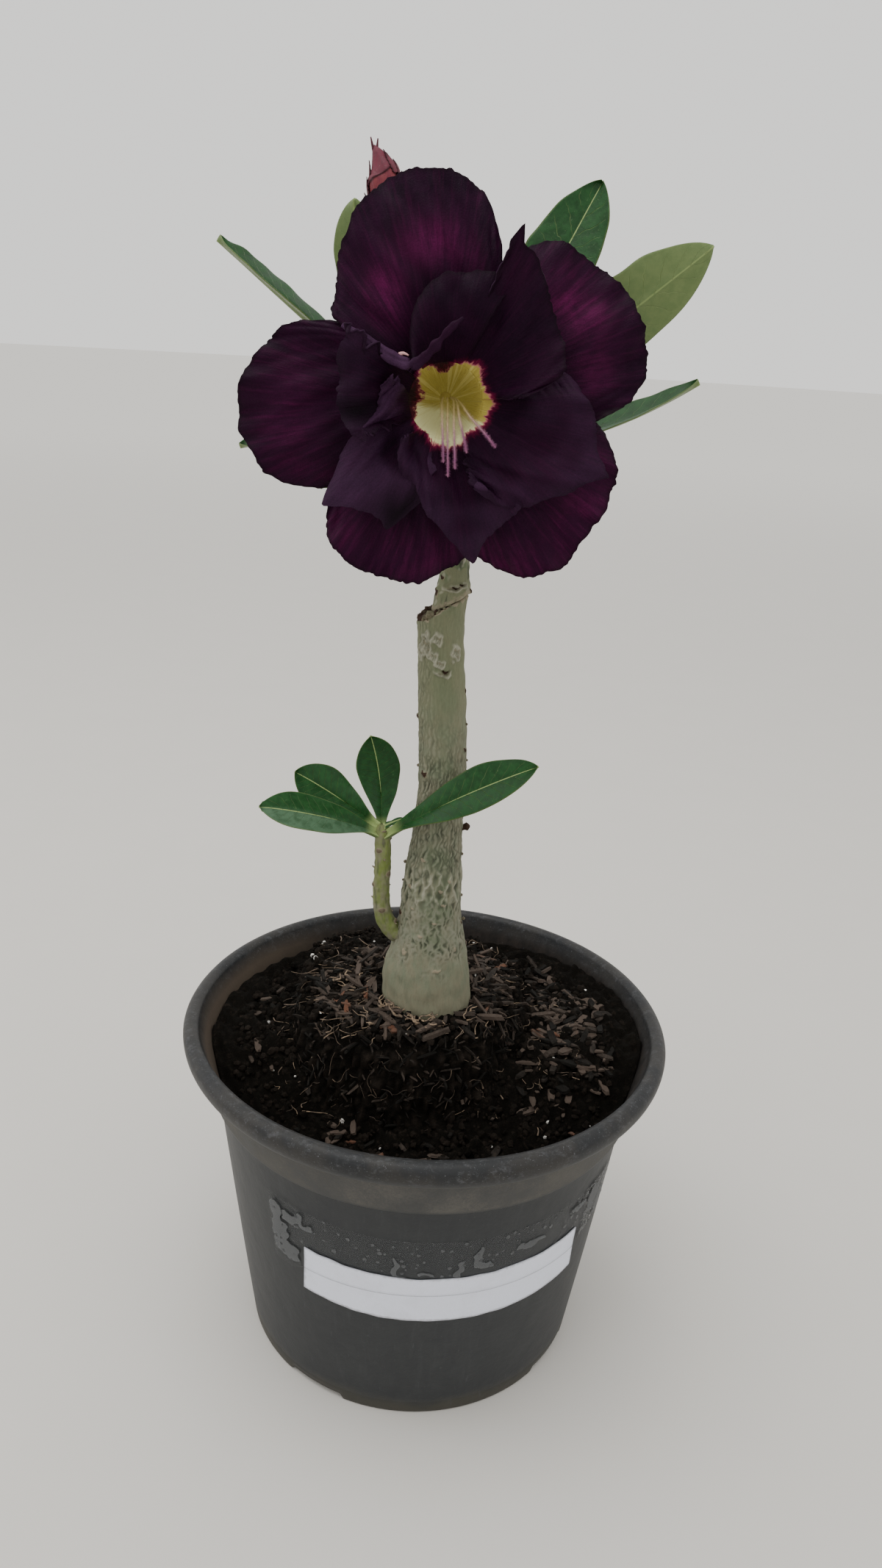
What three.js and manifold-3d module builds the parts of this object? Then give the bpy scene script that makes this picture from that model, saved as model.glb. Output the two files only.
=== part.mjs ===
// A grafted desert rose (adenium) with one double, near-black flower, in a round plastic nursery pot.
// Units are millimetres, +Z is up, the origin is the centre of the pot's foot, and the flower faces -Y.
import * as THREE from "three";
import { mergeVertices } from "three/addons/utils/BufferGeometryUtils.js";
import Module from "manifold-3d";

const wasm = await Module();
wasm.setup();

// ---------------------------------------------------------------- driving dimensions

const GAP = 0.3; // clear space left between two touching pieces
const TAU = 2 * Math.PI;

const POT = {
  height: 107.6,
  rimRadius: 75, // widest point of the rolled lip
  rimHeight: 104.9, // level of that widest point
  lipInnerRadius: 70.4,
  lipDepth: 8.2, // height of the rolled lip
  collarFoot: 85.5, // level where the collar steps in to the body
  collarRadius: 66.2,
  shoulderRadius: 64.6, // body just under the collar
  footRadius: 53.1,
  footWidth: 3.4,
  footHeight: 2.2,
  floor: 2.2, // thickness of the bottom
  wall: 1.8,
  notches: 4, // drainage notches in the foot ring, each over a drain hole
  notchWidth: 19,
  firstNotch: -31.5, // degrees from the front
  drainRadius: 4.5,
  sides: 44,
};

const LABEL = { from: -31.5, to: 53.5, middle: 50.4, height: 17.2, rise: 2.1, thick: 0.6 };
const TAPE = { from: -42, to: 66, step: -34, bottom: 53, top: 76, sag: 2.5, thick: 0.6 };

const MIX = { back: 99.5, front: 79, lift: 3.5, bottom: POT.footHeight + POT.floor + GAP };
const BALL = {
  x: -6.5,
  y: 14,
  top: 113.4,
  dome: 3.2, // fall of the top from the trunk to the edge
  radius: 35,
  belly: 40.5, // widest radius, at the fraction bellyAt of the height
  bellyAt: 0.58,
  footRadius: 32,
  squareness: 2.6, // 2 is round, more is squarer
  bottom: 44,
};

// Rootstock: level, centre x, centre y and radius, from its rounded foot in the soil to the graft.
const TRUNK = [
  [97, -0.6, 3.2, 9.5],
  [101, -0.6, 3.2, 13.4],
  [108, -0.5, 3.1, 14.7],
  [116, -0.4, 3, 14.1],
  [122.5, -0.4, 2.8, 13],
  [131.4, -0.5, 2.5, 11.2],
  [140.3, -0.6, 2.2, 9.5],
  [152.7, -0.4, 1.9, 8.6],
  [164.7, 0, 1.6, 7.6],
  [175.6, 0.5, 1.3, 6.95],
  [188, 0.6, 1, 6.9],
  [207.9, -0.6, 0.6, 6.75],
  [220.7, -1.5, 0.3, 6.5],
  [231.1, -2.1, 0.1, 6.4],
  [243, -1.3, 0, 6.2],
  [258, -0.4, 0, 5.6],
];
const NET = { from: 118, to: 176, full: 148, turns: 4, pitch: 14, height: 0.5 };
const GRAFT = { x: -8.5, z: 232.4, slope: 31 }; // low corner of the slanting cut, and its angle
const SCION = [
  [228, 0.4, 0, 5],
  [239, 0.5, 0, 4.8],
  [245, 0.8, 0, 4.15],
  [268, -0.4, 0, 4.1],
  [281, -1.2, 0, 4.3],
  [286, -1.4, 0, 3.4],
  [288.6, -1.4, 0, 1.6],
];
const SHOOT = [
  [-8.6, 1.4, 133.6, 2.4],
  [-12, 0.6, 135.8, 2.8],
  [-14.8, 0, 141, 2.7],
  [-15.6, 0, 148.5, 2.5],
  [-15.5, 0, 157, 2.4],
  [-15.7, 0, 164.5, 2.35],
  [-16.2, 0, 169.5, 2.1],
  [-16.5, 0, 172, 1.2],
];

// Leaves: root and tip, the bend that their midrib leans to, the way the upper face looks, the half width.
// fold is the rise of the two halves from the midrib; wave is the height of the edge's waves.
const SHOOT_LEAVES = [
  { name: "shoot_leaf_left_low", root: [-18.9, -1, 168], bend: [-31, -6, 175.4], tip: [-51, -9, 177.2],
    face: [-0.05, -0.62, 0.8], half: 6.2, fold: 0.12, wave: 0.7 },
  { name: "shoot_leaf_left", root: [-18.7, 1.3, 170.2], bend: [-30.5, 7, 176.5], tip: [-43, 7, 182.6],
    face: [0.15, -0.85, 0.5], half: 6.6, fold: 0.15, wave: 0.6 },
  { name: "shoot_leaf_upright", root: [-16.9, 2.3, 172.3], bend: [-16.6, 8, 182], tip: [-20.8, 5, 196],
    face: [0.12, -1, 0.25], half: 6.4, fold: 0.1, wave: 0.3 },
  { name: "shoot_leaf_right", root: [-13.2, -1.5, 168], bend: [4, -15, 186.5], tip: [26.4, -22, 198.9],
    face: [-0.25, -0.8, 0.65], half: 6.4, fold: 0.14, wave: 0.5 },
  { name: "shoot_leaf_small", root: [-14.5, -0.5, 171.2], bend: [-12.8, -1.5, 172], tip: [-9.6, -2.4, 173.6],
    face: [-0.2, -0.6, 0.8], half: 1, fold: 0.1, wave: 0 },
];
const CROWN_LEAVES = [
  { name: "crown_leaf_1", root: [-6.4, -1, 282], bend: [-46, -4, 313], tip: [-62, -5, 324.4],
    face: [0.5, -0.16, 0.86], half: 6.4, fold: 0.25, wave: 0.5 },
  { name: "crown_leaf_2", root: [-5.8, -2.6, 284.4], bend: [-27, -8, 312], tip: [-28, -14, 334.5],
    face: [0.3, 0.9, 0.3], half: 8, fold: 0.15, wave: 0.4 },
  { name: "crown_leaf_3", root: [1.6, 4.4, 284], bend: [19, 18, 316], tip: [33.4, 22, 345.2],
    face: [-0.35, -0.9, 0.25], half: 10, fold: 0.12, wave: 0.4 },
  { name: "crown_leaf_4", root: [3.4, -3, 283], bend: [29, -14, 305], tip: [57.6, -13, 329],
    face: [-0.15, 0.95, 0.25], half: 9.4, fold: 0.08, wave: 0.4 },
  { name: "crown_leaf_5", root: [3.8, 0.6, 280], bend: [32, 0, 279], tip: [60.6, -1, 297.6],
    face: [-0.4, -0.2, 0.9], half: 6.4, fold: 0.25, wave: 0.4 },
  { name: "crown_leaf_6", root: [-6.4, 1.6, 279], bend: [-32, 2, 282], tip: [-57, -2, 275.4],
    face: [0.05, -0.3, 0.95], half: 6.8, fold: 0.2, wave: 0.5 },
  { name: "crown_leaf_7", root: [-4.6, -3.8, 278], bend: [-20, -10, 277], tip: [-34.6, -12, 267.4],
    face: [0.3, -0.4, 0.86], half: 5.2, fold: 0.2, wave: 0.3 },
  { name: "crown_leaf_8", root: [-1.2, 5, 286], bend: [4, 13, 312], tip: [2, 16, 333],
    face: [-0.1, -1, 0.2], half: 6.6, fold: 0.15, wave: 0.3 },
  { name: "crown_leaf_9", root: [-4.6, 4.6, 281], bend: [-24, 30, 298], tip: [-34, 50, 306],
    face: [0.3, -0.4, 0.86], half: 7.6, fold: 0.18, wave: 0.5 },
  { name: "crown_leaf_10", root: [2.6, 4.4, 279], bend: [18, 30, 292], tip: [24, 54, 295],
    face: [-0.2, -0.35, 0.9], half: 7.8, fold: 0.15, wave: 0.5 },
  { name: "crown_leaf_11", root: [-2.2, 5.2, 276], bend: [-8, 26, 284], tip: [-8, 46, 276],
    face: [0, -0.2, 0.96], half: 7, fold: 0.18, wave: 0.4 },
];

// Flower: centre of its throat, and how far its face is tipped up, in degrees.
const FLOWER = { centre: [-3.8, -40, 292.1], tipUp: 3, tube: 31, mouth: 8.4 };

// Corolla lobes: the bearings of their two sides in degrees (0 to the right, 90 up) and the reach of the
// margin from the throat's centre at even steps between them. rise and end are the heights of the lobe on its way
// and at its margin, tilt is how far the second side stands in front of the first, cup is its hollow, and wave
// and waves are the height and count of its waves. cusps are points of the margin: [share of the way, height].
const OUTER_LOBES = [
  { from: 148, to: 68, reach: [30, 36.5, 43.5, 48, 48, 43.5, 29], rise: 1, end: -4, tilt: 1, cup: 1,
    wave: 1.1, waves: 3.2, cusps: [[0.03, 1.2]] },
  { from: 72, to: -5, reach: [28, 41, 43.8, 47, 47.5, 45.8, 35], rise: 0, end: -6, tilt: 0, cup: -2,
    wave: 1.1, waves: 3, cusps: [] },
  { from: -5, to: -78, reach: [36, 43, 45.3, 46, 46.6, 43, 33], rise: -1, end: -6, tilt: 1, cup: -2,
    wave: 1.1, waves: 3.4, cusps: [[0.6, 1.6]] },
  { from: -74, to: -140, reach: [35, 38.5, 42.4, 43.2, 43.7, 41.5, 34], rise: -2, end: -5, tilt: 1, cup: -1,
    wave: 1.2, waves: 3, cusps: [] },
  { from: 220, to: 145, reach: [32, 43.5, 47, 48, 44.5, 38.5, 26], rise: -1, end: -5, tilt: 2, cup: -2,
    wave: 1.2, waves: 3.2, cusps: [[0.38, 1.4]] },
];
const INNER_LOBES = [
  { from: 131, to: 62, reach: [11.5, 17, 22, 25.2, 26.8, 28, 28.5], rise: 9, end: 5, tilt: 1, cup: 1,
    wave: 0.8, waves: 2.4, cusps: [] },
  { from: 67.5, to: 5, reach: [35.5, 35, 31.4, 29, 28.4, 26.4, 18], rise: 9, end: 8, tilt: 0, cup: 2.5,
    wave: 0.8, waves: 2, cusps: [[0.04, 2.6]] },
  { from: 14, to: -67, reach: [29, 33, 35.8, 36, 31.5, 28, 20], rise: 8, end: 5, tilt: 2.5, cup: 0,
    wave: 0.9, waves: 2.4, cusps: [[0.43, 4.2]] },
  { from: -50, to: -135, reach: [29, 31, 32.5, 26.5, 19.5, 17.8, 12.5], rise: 9, end: 6, tilt: 3, cup: 1,
    wave: 0.9, waves: 2, cusps: [[0.31, 3.8]] },
  { from: 264, to: 160, reach: [20.5, 28, 31, 27.5, 16, 14.5, 12.5], rise: 9, end: 6.5, tilt: 2.5, cup: 1,
    wave: 1, waves: 2.6, cusps: [[0.15, 4], [0.4, 6]] },
  { from: 208, to: 147, reach: [19.5, 22.5, 23.6, 23.6, 24, 25, 24.5], rise: 10, end: 8, tilt: 2, cup: 5,
    wave: 0.8, waves: 1.8, cusps: [[0.98, 2]] },
];
// A narrow curled lobe that stands across the top left of the throat: its midline and half widths.
const CURL = {
  line: [
    [-13.5, 8.6, 7],
    [-9.2, 6.6, 6.4],
    [-5.6, 8.6, 7.6],
    [-1.8, 13, 10],
    [3.6, 16.8, 11],
  ],
  half: [0.6, 1.7, 2.2, 1.9, 0.7],
};
const LOBE = { thick: 0.7, across: 8, along: 5, cuspWidth: 0.09, rootSpread: 33 };
const LEAF = { thick: 0.7, across: 4, along: 6, widest: 0.66, stalk: 0.75 };

// Bud: centre line with radii from its stalk to its tip, and the scales wrapped about it.
const BUD = {
  line: [
    [-5, 3.4, 287.4, 1.4],
    [-9, 3.6, 298, 1.7],
    [-14.4, 1.5, 314, 2.6],
    [-18.4, -1.6, 327, 4.4],
    [-21.3, -4.2, 337.5, 4],
    [-23.2, -5, 344, 2.1],
    [-24.3, -5.2, 347.6, 0.4],
  ],
  scales: 6,
  firstScale: 0.56,
  lastScale: 0.84,
};

// ---------------------------------------------------------------- small helpers

const v3 = (p) => new THREE.Vector3(p[0], p[1], p[2]);
const radians = THREE.MathUtils.degToRad;

// A repeatable random number between 0 and 1.
function randomFrom(seed) {
  let state = seed;
  return () => {
    state = (state * 1664525 + 1013904223) % 4294967296;
    return state / 4294967296;
  };
}

function geometryOf(positions, index) {
  const geometry = new THREE.BufferGeometry();
  geometry.setAttribute("position", new THREE.Float32BufferAttribute(positions, 3));
  geometry.setIndex(index);
  return geometry;
}

// A closed mesh as a solid that can be joined and cut.
function solid(geometry) {
  const bare = geometry.clone();
  bare.deleteAttribute("normal");
  bare.deleteAttribute("uv");
  const merged = mergeVertices(bare, 1e-4);
  return new wasm.Manifold(
    new wasm.Mesh({
      numProp: 3,
      vertProperties: new Float32Array(merged.attributes.position.array),
      triVerts: new Uint32Array(merged.index.array),
    }),
  );
}

// The largest body of a solid as a geometry; chips that did not reach it are dropped.
function geometryFrom(made) {
  const largest = made.decompose().sort((a, b) => b.volume() - a.volume())[0];
  const mesh = largest.getMesh();
  return geometryOf(Array.from(mesh.vertProperties), Array.from(mesh.triVerts));
}

function fused(geometries) {
  return geometries.map(solid).reduce((sum, next) => sum.add(next));
}

function piece(name, geometry, material) {
  const mesh = new THREE.Mesh(geometry, material);
  mesh.name = name;
  return mesh;
}

// Smooth value of column c of a list of stations at parameter t between 0 and 1.
function along(stations, t, c) {
  const s = t * (stations.length - 1);
  const i = Math.min(Math.floor(s), stations.length - 2);
  const at = (k) => stations[THREE.MathUtils.clamp(k, 0, stations.length - 1)][c];
  const f = s - i;
  const slope0 = (at(i + 1) - at(i - 1)) / 2;
  const slope1 = (at(i + 2) - at(i)) / 2;
  const a = 2 * f ** 3 - 3 * f ** 2 + 1;
  const b = f ** 3 - 2 * f ** 2 + f;
  const c2 = -2 * f ** 3 + 3 * f ** 2;
  return a * at(i) + b * slope0 + c2 * at(i + 1) + (f ** 3 - f ** 2) * slope1;
}

// A closed body through a list of rings of equal point count, each turning counter-clockwise about the way
// the list runs, with a fan at both ends.
function loft(rings) {
  const count = rings[0].length;
  const positions = rings.flatMap((ring) => ring.flatMap((p) => p.toArray()));
  const index = [];
  for (let j = 0; j + 1 < rings.length; j++) {
    for (let k = 0; k < count; k++) {
      const next = (k + 1) % count;
      const a = j * count + k;
      const b = j * count + next;
      index.push(a, b, b + count, a, b + count, a + count);
    }
  }
  const fan = (ring, first, flip) => {
    const middle = ring.reduce((sum, p) => sum.add(p), new THREE.Vector3()).divideScalar(count);
    const centre = positions.length / 3;
    positions.push(...middle.toArray());
    for (let k = 0; k < count; k++) {
      const pair = [first + k, first + ((k + 1) % count)];
      index.push(centre, ...(flip ? pair.reverse() : pair));
    }
  };
  fan(rings[0], 0, true);
  fan(rings.at(-1), (rings.length - 1) * count, false);
  return geometryOf(positions, index);
}

// A round body along stations of [x, y, z, radius], with a relief of its surface over angle and way.
function stem(stations, steps, sides, relief = () => 0) {
  const centre = (t) => v3([0, 1, 2].map((c) => along(stations, t, c)));
  const rings = [];
  for (let j = 0; j <= steps; j++) {
    const t = j / steps;
    const here = centre(t);
    const way = centre(Math.min(1, t + 0.01)).sub(centre(Math.max(0, t - 0.01))).normalize();
    const east = new THREE.Vector3(1, 0, 0).addScaledVector(way, -way.x).normalize();
    const north = way.clone().cross(east);
    const ring = [];
    for (let k = 0; k < sides; k++) {
      const angle = (TAU * k) / sides;
      const radius = along(stations, t, 3) + relief(angle, here.z, t);
      ring.push(
        here
          .clone()
          .addScaledVector(east, radius * Math.cos(angle))
          .addScaledVector(north, radius * Math.sin(angle)),
      );
    }
    rings.push(ring);
  }
  return loft(rings);
}

// A thin closed sheet of even thickness about a grid of points: rows run along it, columns across it.
// Both faces are split alike.
function sheet(rows, thickness) {
  const m = rows.length;
  const n = rows[0].length;
  const at = (j, i) => rows[THREE.MathUtils.clamp(j, 0, m - 1)][THREE.MathUtils.clamp(i, 0, n - 1)];
  const faces = [[], []];
  for (let j = 0; j < m; j++) {
    for (let i = 0; i < n; i++) {
      const across = at(j, i + 1).clone().sub(at(j, i - 1));
      const onward = at(j + 1, i).clone().sub(at(j - 1, i));
      const normal = across.cross(onward).normalize();
      faces[0].push(...at(j, i).clone().addScaledVector(normal, thickness / 2).toArray());
      faces[1].push(...at(j, i).clone().addScaledVector(normal, -thickness / 2).toArray());
    }
  }
  const under = m * n;
  const index = [];
  for (let j = 0; j + 1 < m; j++) {
    for (let i = 0; i + 1 < n; i++) {
      const a = j * n + i;
      const b = a + 1;
      const c = b + n;
      const d = a + n;
      index.push(a, b, c, a, c, d);
      index.push(under + a, under + c, under + b, under + a, under + d, under + c);
    }
  }
  const rim = [];
  for (let i = 0; i < n - 1; i++) rim.push(i);
  for (let j = 0; j < m - 1; j++) rim.push(j * n + n - 1);
  for (let i = n - 1; i > 0; i--) rim.push((m - 1) * n + i);
  for (let j = m - 1; j > 0; j--) rim.push(j * n);
  rim.forEach((a, k) => {
    const b = rim[(k + 1) % rim.length];
    index.push(under + a, under + b, b, under + a, b, a);
  });
  return geometryOf([...faces[0], ...faces[1]], index);
}

// ---------------------------------------------------------------- materials

const finish = (color, roughness, metalness = 0) =>
  new THREE.MeshStandardMaterial({ color, roughness, metalness });

const MATERIALS = {
  pot: finish(0x35353a, 0.6),
  paper: finish(0xdcdee6, 0.85),
  tape: finish(0x6a6b70, 0.3),
  mix: finish(0x1f1915, 0.95),
  ball: finish(0x14110f, 0.95),
  bark: finish(0x8d927c, 0.8),
  shoot: finish(0x71783f, 0.6),
  leaf: finish(0x1d4a22, 0.4),
  calyx: finish(0x5a2a30, 0.6),
  petal: finish(0x24081f, 0.7),
  throat: finish(0xc6bf66, 0.6),
  tails: finish(0xd79fae, 0.6),
  bud: finish(0x5f2430, 0.6),
};

// ---------------------------------------------------------------- pot, label and tape

// Outer radius of the pot's tapering body at a level.
const bodyRadius = (z) =>
  POT.footRadius + ((POT.shoulderRadius - POT.footRadius) * z) / POT.collarFoot;

// Radius of the pot's inside at a level.
function innerRadius(z) {
  if (z < POT.collarFoot) return bodyRadius(z) - POT.wall;
  const t = Math.min(1, (z - POT.collarFoot) / (POT.height - POT.collarFoot));
  return THREE.MathUtils.lerp(POT.shoulderRadius - POT.wall, POT.lipInnerRadius - 0.6, t);
}

function potGeometry() {
  const { height, rimRadius, rimHeight, lipInnerRadius, lipDepth } = POT;
  const lipFoot = height - lipDepth;
  const floorTop = POT.footHeight + POT.floor;
  const lipThick = height - rimHeight;
  const profile = [
    [0, POT.footHeight],
    [POT.footRadius - POT.footWidth, POT.footHeight],
    [POT.footRadius - POT.footWidth + 0.3, 0],
    [POT.footRadius - 0.5, 0],
    [bodyRadius(0.9), 0.9],
    [bodyRadius(POT.collarFoot - 0.6), POT.collarFoot - 0.6],
    [POT.collarRadius - 0.4, POT.collarFoot - 0.1],
    [POT.collarRadius, POT.collarFoot + 0.7],
    [POT.collarRadius + 3.2, lipFoot - 0.8],
    [POT.collarRadius + 4.2, lipFoot + 0.3],
  ];
  const crown = new THREE.Vector2(rimRadius - lipThick, rimHeight);
  for (const angle of [-50, -20, 10, 40, 70, 90]) {
    const a = radians(angle);
    const drop = angle < 0 ? 1.9 : 1;
    profile.push([crown.x + lipThick * Math.cos(a), crown.y + lipThick * Math.sin(a) * drop]);
  }
  profile.push(
    [lipInnerRadius + 0.5, height - 0.1],
    [lipInnerRadius, height - 0.8],
    [innerRadius(lipFoot), lipFoot],
    [innerRadius(POT.collarFoot + 0.5), POT.collarFoot + 0.5],
    [innerRadius(floorTop + 2), floorTop + 2],
    [innerRadius(floorTop) - 2, floorTop],
    [0, floorTop],
  );
  const turned = new THREE.LatheGeometry(
    profile.map(([r, z]) => new THREE.Vector2(r, z)),
    POT.sides,
  ).rotateX(Math.PI / 2);
  let pot = solid(turned);
  for (let i = 0; i < POT.notches; i++) {
    const about = radians(POT.firstNotch + (360 * i) / POT.notches);
    const notch = new THREE.BoxGeometry(POT.notchWidth, 3 * POT.footWidth, 2 * POT.footHeight - 0.2)
      .translate(0, -POT.footRadius, 0)
      .rotateZ(about);
    const drain = new THREE.CylinderGeometry(POT.drainRadius, POT.drainRadius, 3 * floorTop, 14)
      .rotateX(Math.PI / 2)
      .translate(0, -POT.footRadius + POT.footWidth + POT.drainRadius + 2.5, 0)
      .rotateZ(about);
    pot = pot.subtract(solid(notch)).subtract(solid(drain));
  }
  return geometryFrom(pot);
}

// A strip lying on the pot's body between two bearings from the front, with its edges given by bearing.
function stripOnPot(bearings, lower, upper, thickness) {
  const rows = [lower, upper].map((edge) =>
    bearings.map((bearing) => {
      const z = edge(bearing);
      const r = bodyRadius(z) + GAP + 0.1 + thickness / 2;
      const a = radians(bearing);
      return v3([r * Math.sin(a), -r * Math.cos(a), z]);
    }),
  );
  return sheet(rows, thickness);
}

const evenly = (from, to, steps) =>
  Array.from({ length: steps + 1 }, (_, i) => from + ((to - from) * i) / steps);

// A straight strip on a cone climbs towards both its ends.
function labelMiddle(bearing) {
  const centre = (LABEL.from + LABEL.to) / 2;
  return LABEL.middle + LABEL.rise * ((bearing - centre) / (LABEL.to - centre)) ** 2;
}

function labelGeometry() {
  return stripOnPot(
    evenly(LABEL.from, LABEL.to, 14),
    (b) => labelMiddle(b) - LABEL.height / 2,
    (b) => labelMiddle(b) + LABEL.height / 2,
    LABEL.thick,
  );
}

function tapeGeometry() {
  const underLabel = (b) => labelMiddle(b) + LABEL.height / 2 + 2 * GAP;
  const lower = (b) => (b < TAPE.step ? TAPE.bottom : underLabel(Math.min(b, LABEL.to)));
  const upper = (b) => TAPE.top + TAPE.sag * ((b - 12) / 54) ** 2 - 2.5;
  return stripOnPot(
    [TAPE.from, TAPE.step - 0.2, ...evenly(TAPE.step + 0.2, TAPE.to, 16)],
    lower,
    upper,
    TAPE.thick,
  );
}

// ---------------------------------------------------------------- soil

// Small uneven rises of loose soil, about 1 mm up and down.
const crumble = (x, y) =>
  0.55 * Math.sin(0.33 * x + 0.9) * Math.sin(0.29 * y + 0.4) +
  0.4 * Math.sin(0.71 * x + 0.57 * y) +
  0.35 * Math.sin(0.93 * y - 0.62 * x + 2);

// Level of the loose mix: low in front, rising to the back and to the heap of bark on the right.
function mixLevel(x, y) {
  const back = THREE.MathUtils.smoothstep(y, -38, -2);
  const right = THREE.MathUtils.smoothstep(x, 20, 62);
  return THREE.MathUtils.lerp(MIX.front, MIX.back, back) + MIX.lift * right + crumble(x, y);
}

// Radius of the root ball by bearing, at the fraction t of its height: a mound over a tapering plug.
function ballRadius(angle, t) {
  const lumps = 1 + 0.03 * Math.sin(3 * angle + 1) + 0.02 * Math.sin(5 * angle + 2 * t);
  const pitted = 0.5 * Math.sin(9 * angle + 11 * t) * Math.sin(17 * t);
  const belly = BALL.bellyAt;
  const plain =
    t < belly
      ? THREE.MathUtils.lerp(BALL.footRadius, BALL.belly, t / belly)
      : THREE.MathUtils.lerp(BALL.belly, BALL.radius, (t - belly) / (1 - belly));
  const power = BALL.squareness;
  const corner = (Math.abs(Math.cos(angle)) ** power + Math.abs(Math.sin(angle)) ** power) ** (-1 / power);
  return plain * corner * lumps + pitted;
}

// Level of the root ball's top, a low dome about the trunk with an uneven crust.
function ballTop(x, y) {
  const away = Math.hypot(x - BALL.x, y - BALL.y) / BALL.radius;
  return BALL.top - BALL.dome * away * away + 0.7 * crumble(x + 40, y);
}

function flatRing(count, radiusAt, levelAt, cx = 0, cy = 0) {
  const ring = [];
  for (let k = 0; k < count; k++) {
    const angle = (TAU * k) / count;
    const r = radiusAt(angle);
    const x = cx + r * Math.cos(angle);
    const y = cy + r * Math.sin(angle);
    ring.push(v3([x, y, levelAt(x, y, angle)]));
  }
  return ring;
}

// A sliver of bark or wood: a tapering three-sided splinter that lies tilted with one end sunk in.
function sliver(random, at, length, width) {
  const splinter = new THREE.CylinderGeometry(width * 0.3, width * 0.75, length, 3, 1)
    .scale(1, 1, 0.45)
    .rotateZ(Math.PI / 2)
    .rotateY((random() - 0.6) * 0.5)
    .rotateX((random() - 0.5) * 0.8)
    .rotateZ(random() * TAU);
  return splinter.translate(at[0], at[1], at[2]);
}

const ballHeight = BALL.top - BALL.dome - BALL.bottom;

function mixGeometry() {
  const sides = 30;
  const clear = GAP + 0.3;
  const wallRing = (z) => flatRing(sides, () => innerRadius(z) - clear, () => z);
  // Radius at which a surface meets the wall, which flares above the collar's foot.
  const meeting = (level) => (a) => {
    const near = innerRadius(POT.collarFoot);
    return innerRadius(level(near * Math.cos(a), near * Math.sin(a)) - 0.5) - clear;
  };
  const edge = meeting(mixLevel);
  const belowEdge = (x, y) => Math.min(POT.collarFoot - 1, mixLevel(x, y) - 2);
  const rings = [
    flatRing(sides, () => 8, () => MIX.bottom),
    flatRing(sides, () => innerRadius(MIX.bottom) - 2.8, () => MIX.bottom),
    wallRing(MIX.bottom + 2.5),
    flatRing(sides, meeting(belowEdge), belowEdge),
    flatRing(sides, (a) => edge(a) - 0.6, (x, y) => mixLevel(x, y) - 0.5),
  ];
  for (const share of [0.9, 0.78, 0.64, 0.3]) {
    rings.push(flatRing(sides, (a) => edge(a) * share, mixLevel));
  }
  let mix = solid(loft(rings));
  const recess = [-0.005, 0.3, BALL.bellyAt, 0.72, 0.9, 1.04].map((t) =>
    flatRing(26, (a) => ballRadius(a, t) + 1, () => BALL.bottom + ballHeight * t, BALL.x, BALL.y),
  );
  mix = mix.subtract(solid(loft(recess)));
  const random = randomFrom(11);
  for (let i = 0; i < 34; i++) {
    const bearing = i < 24 ? radians(-62 + 125 * random()) : TAU * random();
    const r = 42 + 20 * random();
    const x = r * Math.cos(bearing);
    const y = r * Math.sin(bearing);
    const length = 5 + 6 * random();
    if (Math.hypot(x, y) + length / 2 > 64) continue;
    if (Math.hypot(x - BALL.x, y - BALL.y) - length / 2 < BALL.belly + 1) continue;
    mix = mix.add(solid(sliver(random, [x, y, mixLevel(x, y) + 0.2], length, 2.2 + 1.2 * random())));
  }
  return geometryFrom(mix);
}

// The rootstock's hole in the root ball is the trunk's own foot, a little larger.
function trunkHole() {
  const grown = TRUNK.slice(0, 6).map(([z, x, y, r]) => [x, y, z, r + GAP + 0.25]);
  grown[0][2] -= 1;
  return stem(grown, 6, 22);
}

function ballGeometry() {
  const sides = 26;
  const wallRing = (t) =>
    flatRing(sides, (a) => ballRadius(a, t), () => BALL.bottom + ballHeight * t, BALL.x, BALL.y);
  const rings = [
    flatRing(sides, () => 6, () => BALL.bottom, BALL.x, BALL.y),
    flatRing(sides, (a) => ballRadius(a, 0) - 1.5, () => BALL.bottom, BALL.x, BALL.y),
    ...[0.03, 0.3, BALL.bellyAt, 0.7, 0.8, 0.9].map(wallRing),
  ];
  for (const share of [0.97, 0.88, 0.7, 0.5, 0.25]) {
    const topRing = (x, y) => ballTop(x, y) - (share > 0.95 ? 1.4 : 0);
    rings.push(flatRing(sides, (a) => ballRadius(a, 1) * share, topRing, BALL.x, BALL.y));
  }
  let ball = solid(loft(rings));
  const random = randomFrom(5);
  for (let i = 0; i < 18; i++) {
    const angle = TAU * random();
    const r = BALL.radius * (0.5 + 0.42 * random());
    const x = BALL.x + r * Math.cos(angle);
    const y = BALL.y + r * Math.sin(angle);
    const length = 5 + 6 * random();
    ball = ball.add(solid(sliver(random, [x, y, ballTop(x, y) + 0.25], length, 1.5 + random())));
  }
  return geometryFrom(ball.subtract(solid(trunkHole())));
}

// ---------------------------------------------------------------- stems

// Raised net of the bark: two families of slanting ridges that cross, strongest low on the trunk.
function barkNet(angle, z) {
  const lean = (TAU * z) / NET.pitch;
  const left = Math.abs(Math.sin((NET.turns * angle + lean) / 2 + 0.5 * Math.sin(z / 7)));
  const right = Math.abs(Math.sin((NET.turns * angle - lean) / 2 + 0.6 * Math.sin(z / 9)));
  const low = THREE.MathUtils.smoothstep(z, NET.from, NET.full - 18);
  const high = 1 - THREE.MathUtils.smoothstep(z, NET.full, NET.to);
  return NET.height * low * high * (1 - 2 * Math.min(left, right));
}

// Everything above the slanting cut of the graft, moved up by a clearance.
function aboveCut(clearance) {
  const size = 60;
  return solid(
    new THREE.BoxGeometry(size, size, size)
      .translate(0, 0, size / 2 + clearance)
      .rotateY(-radians(GRAFT.slope))
      .translate(GRAFT.x, 0, GRAFT.z),
  );
}

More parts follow.
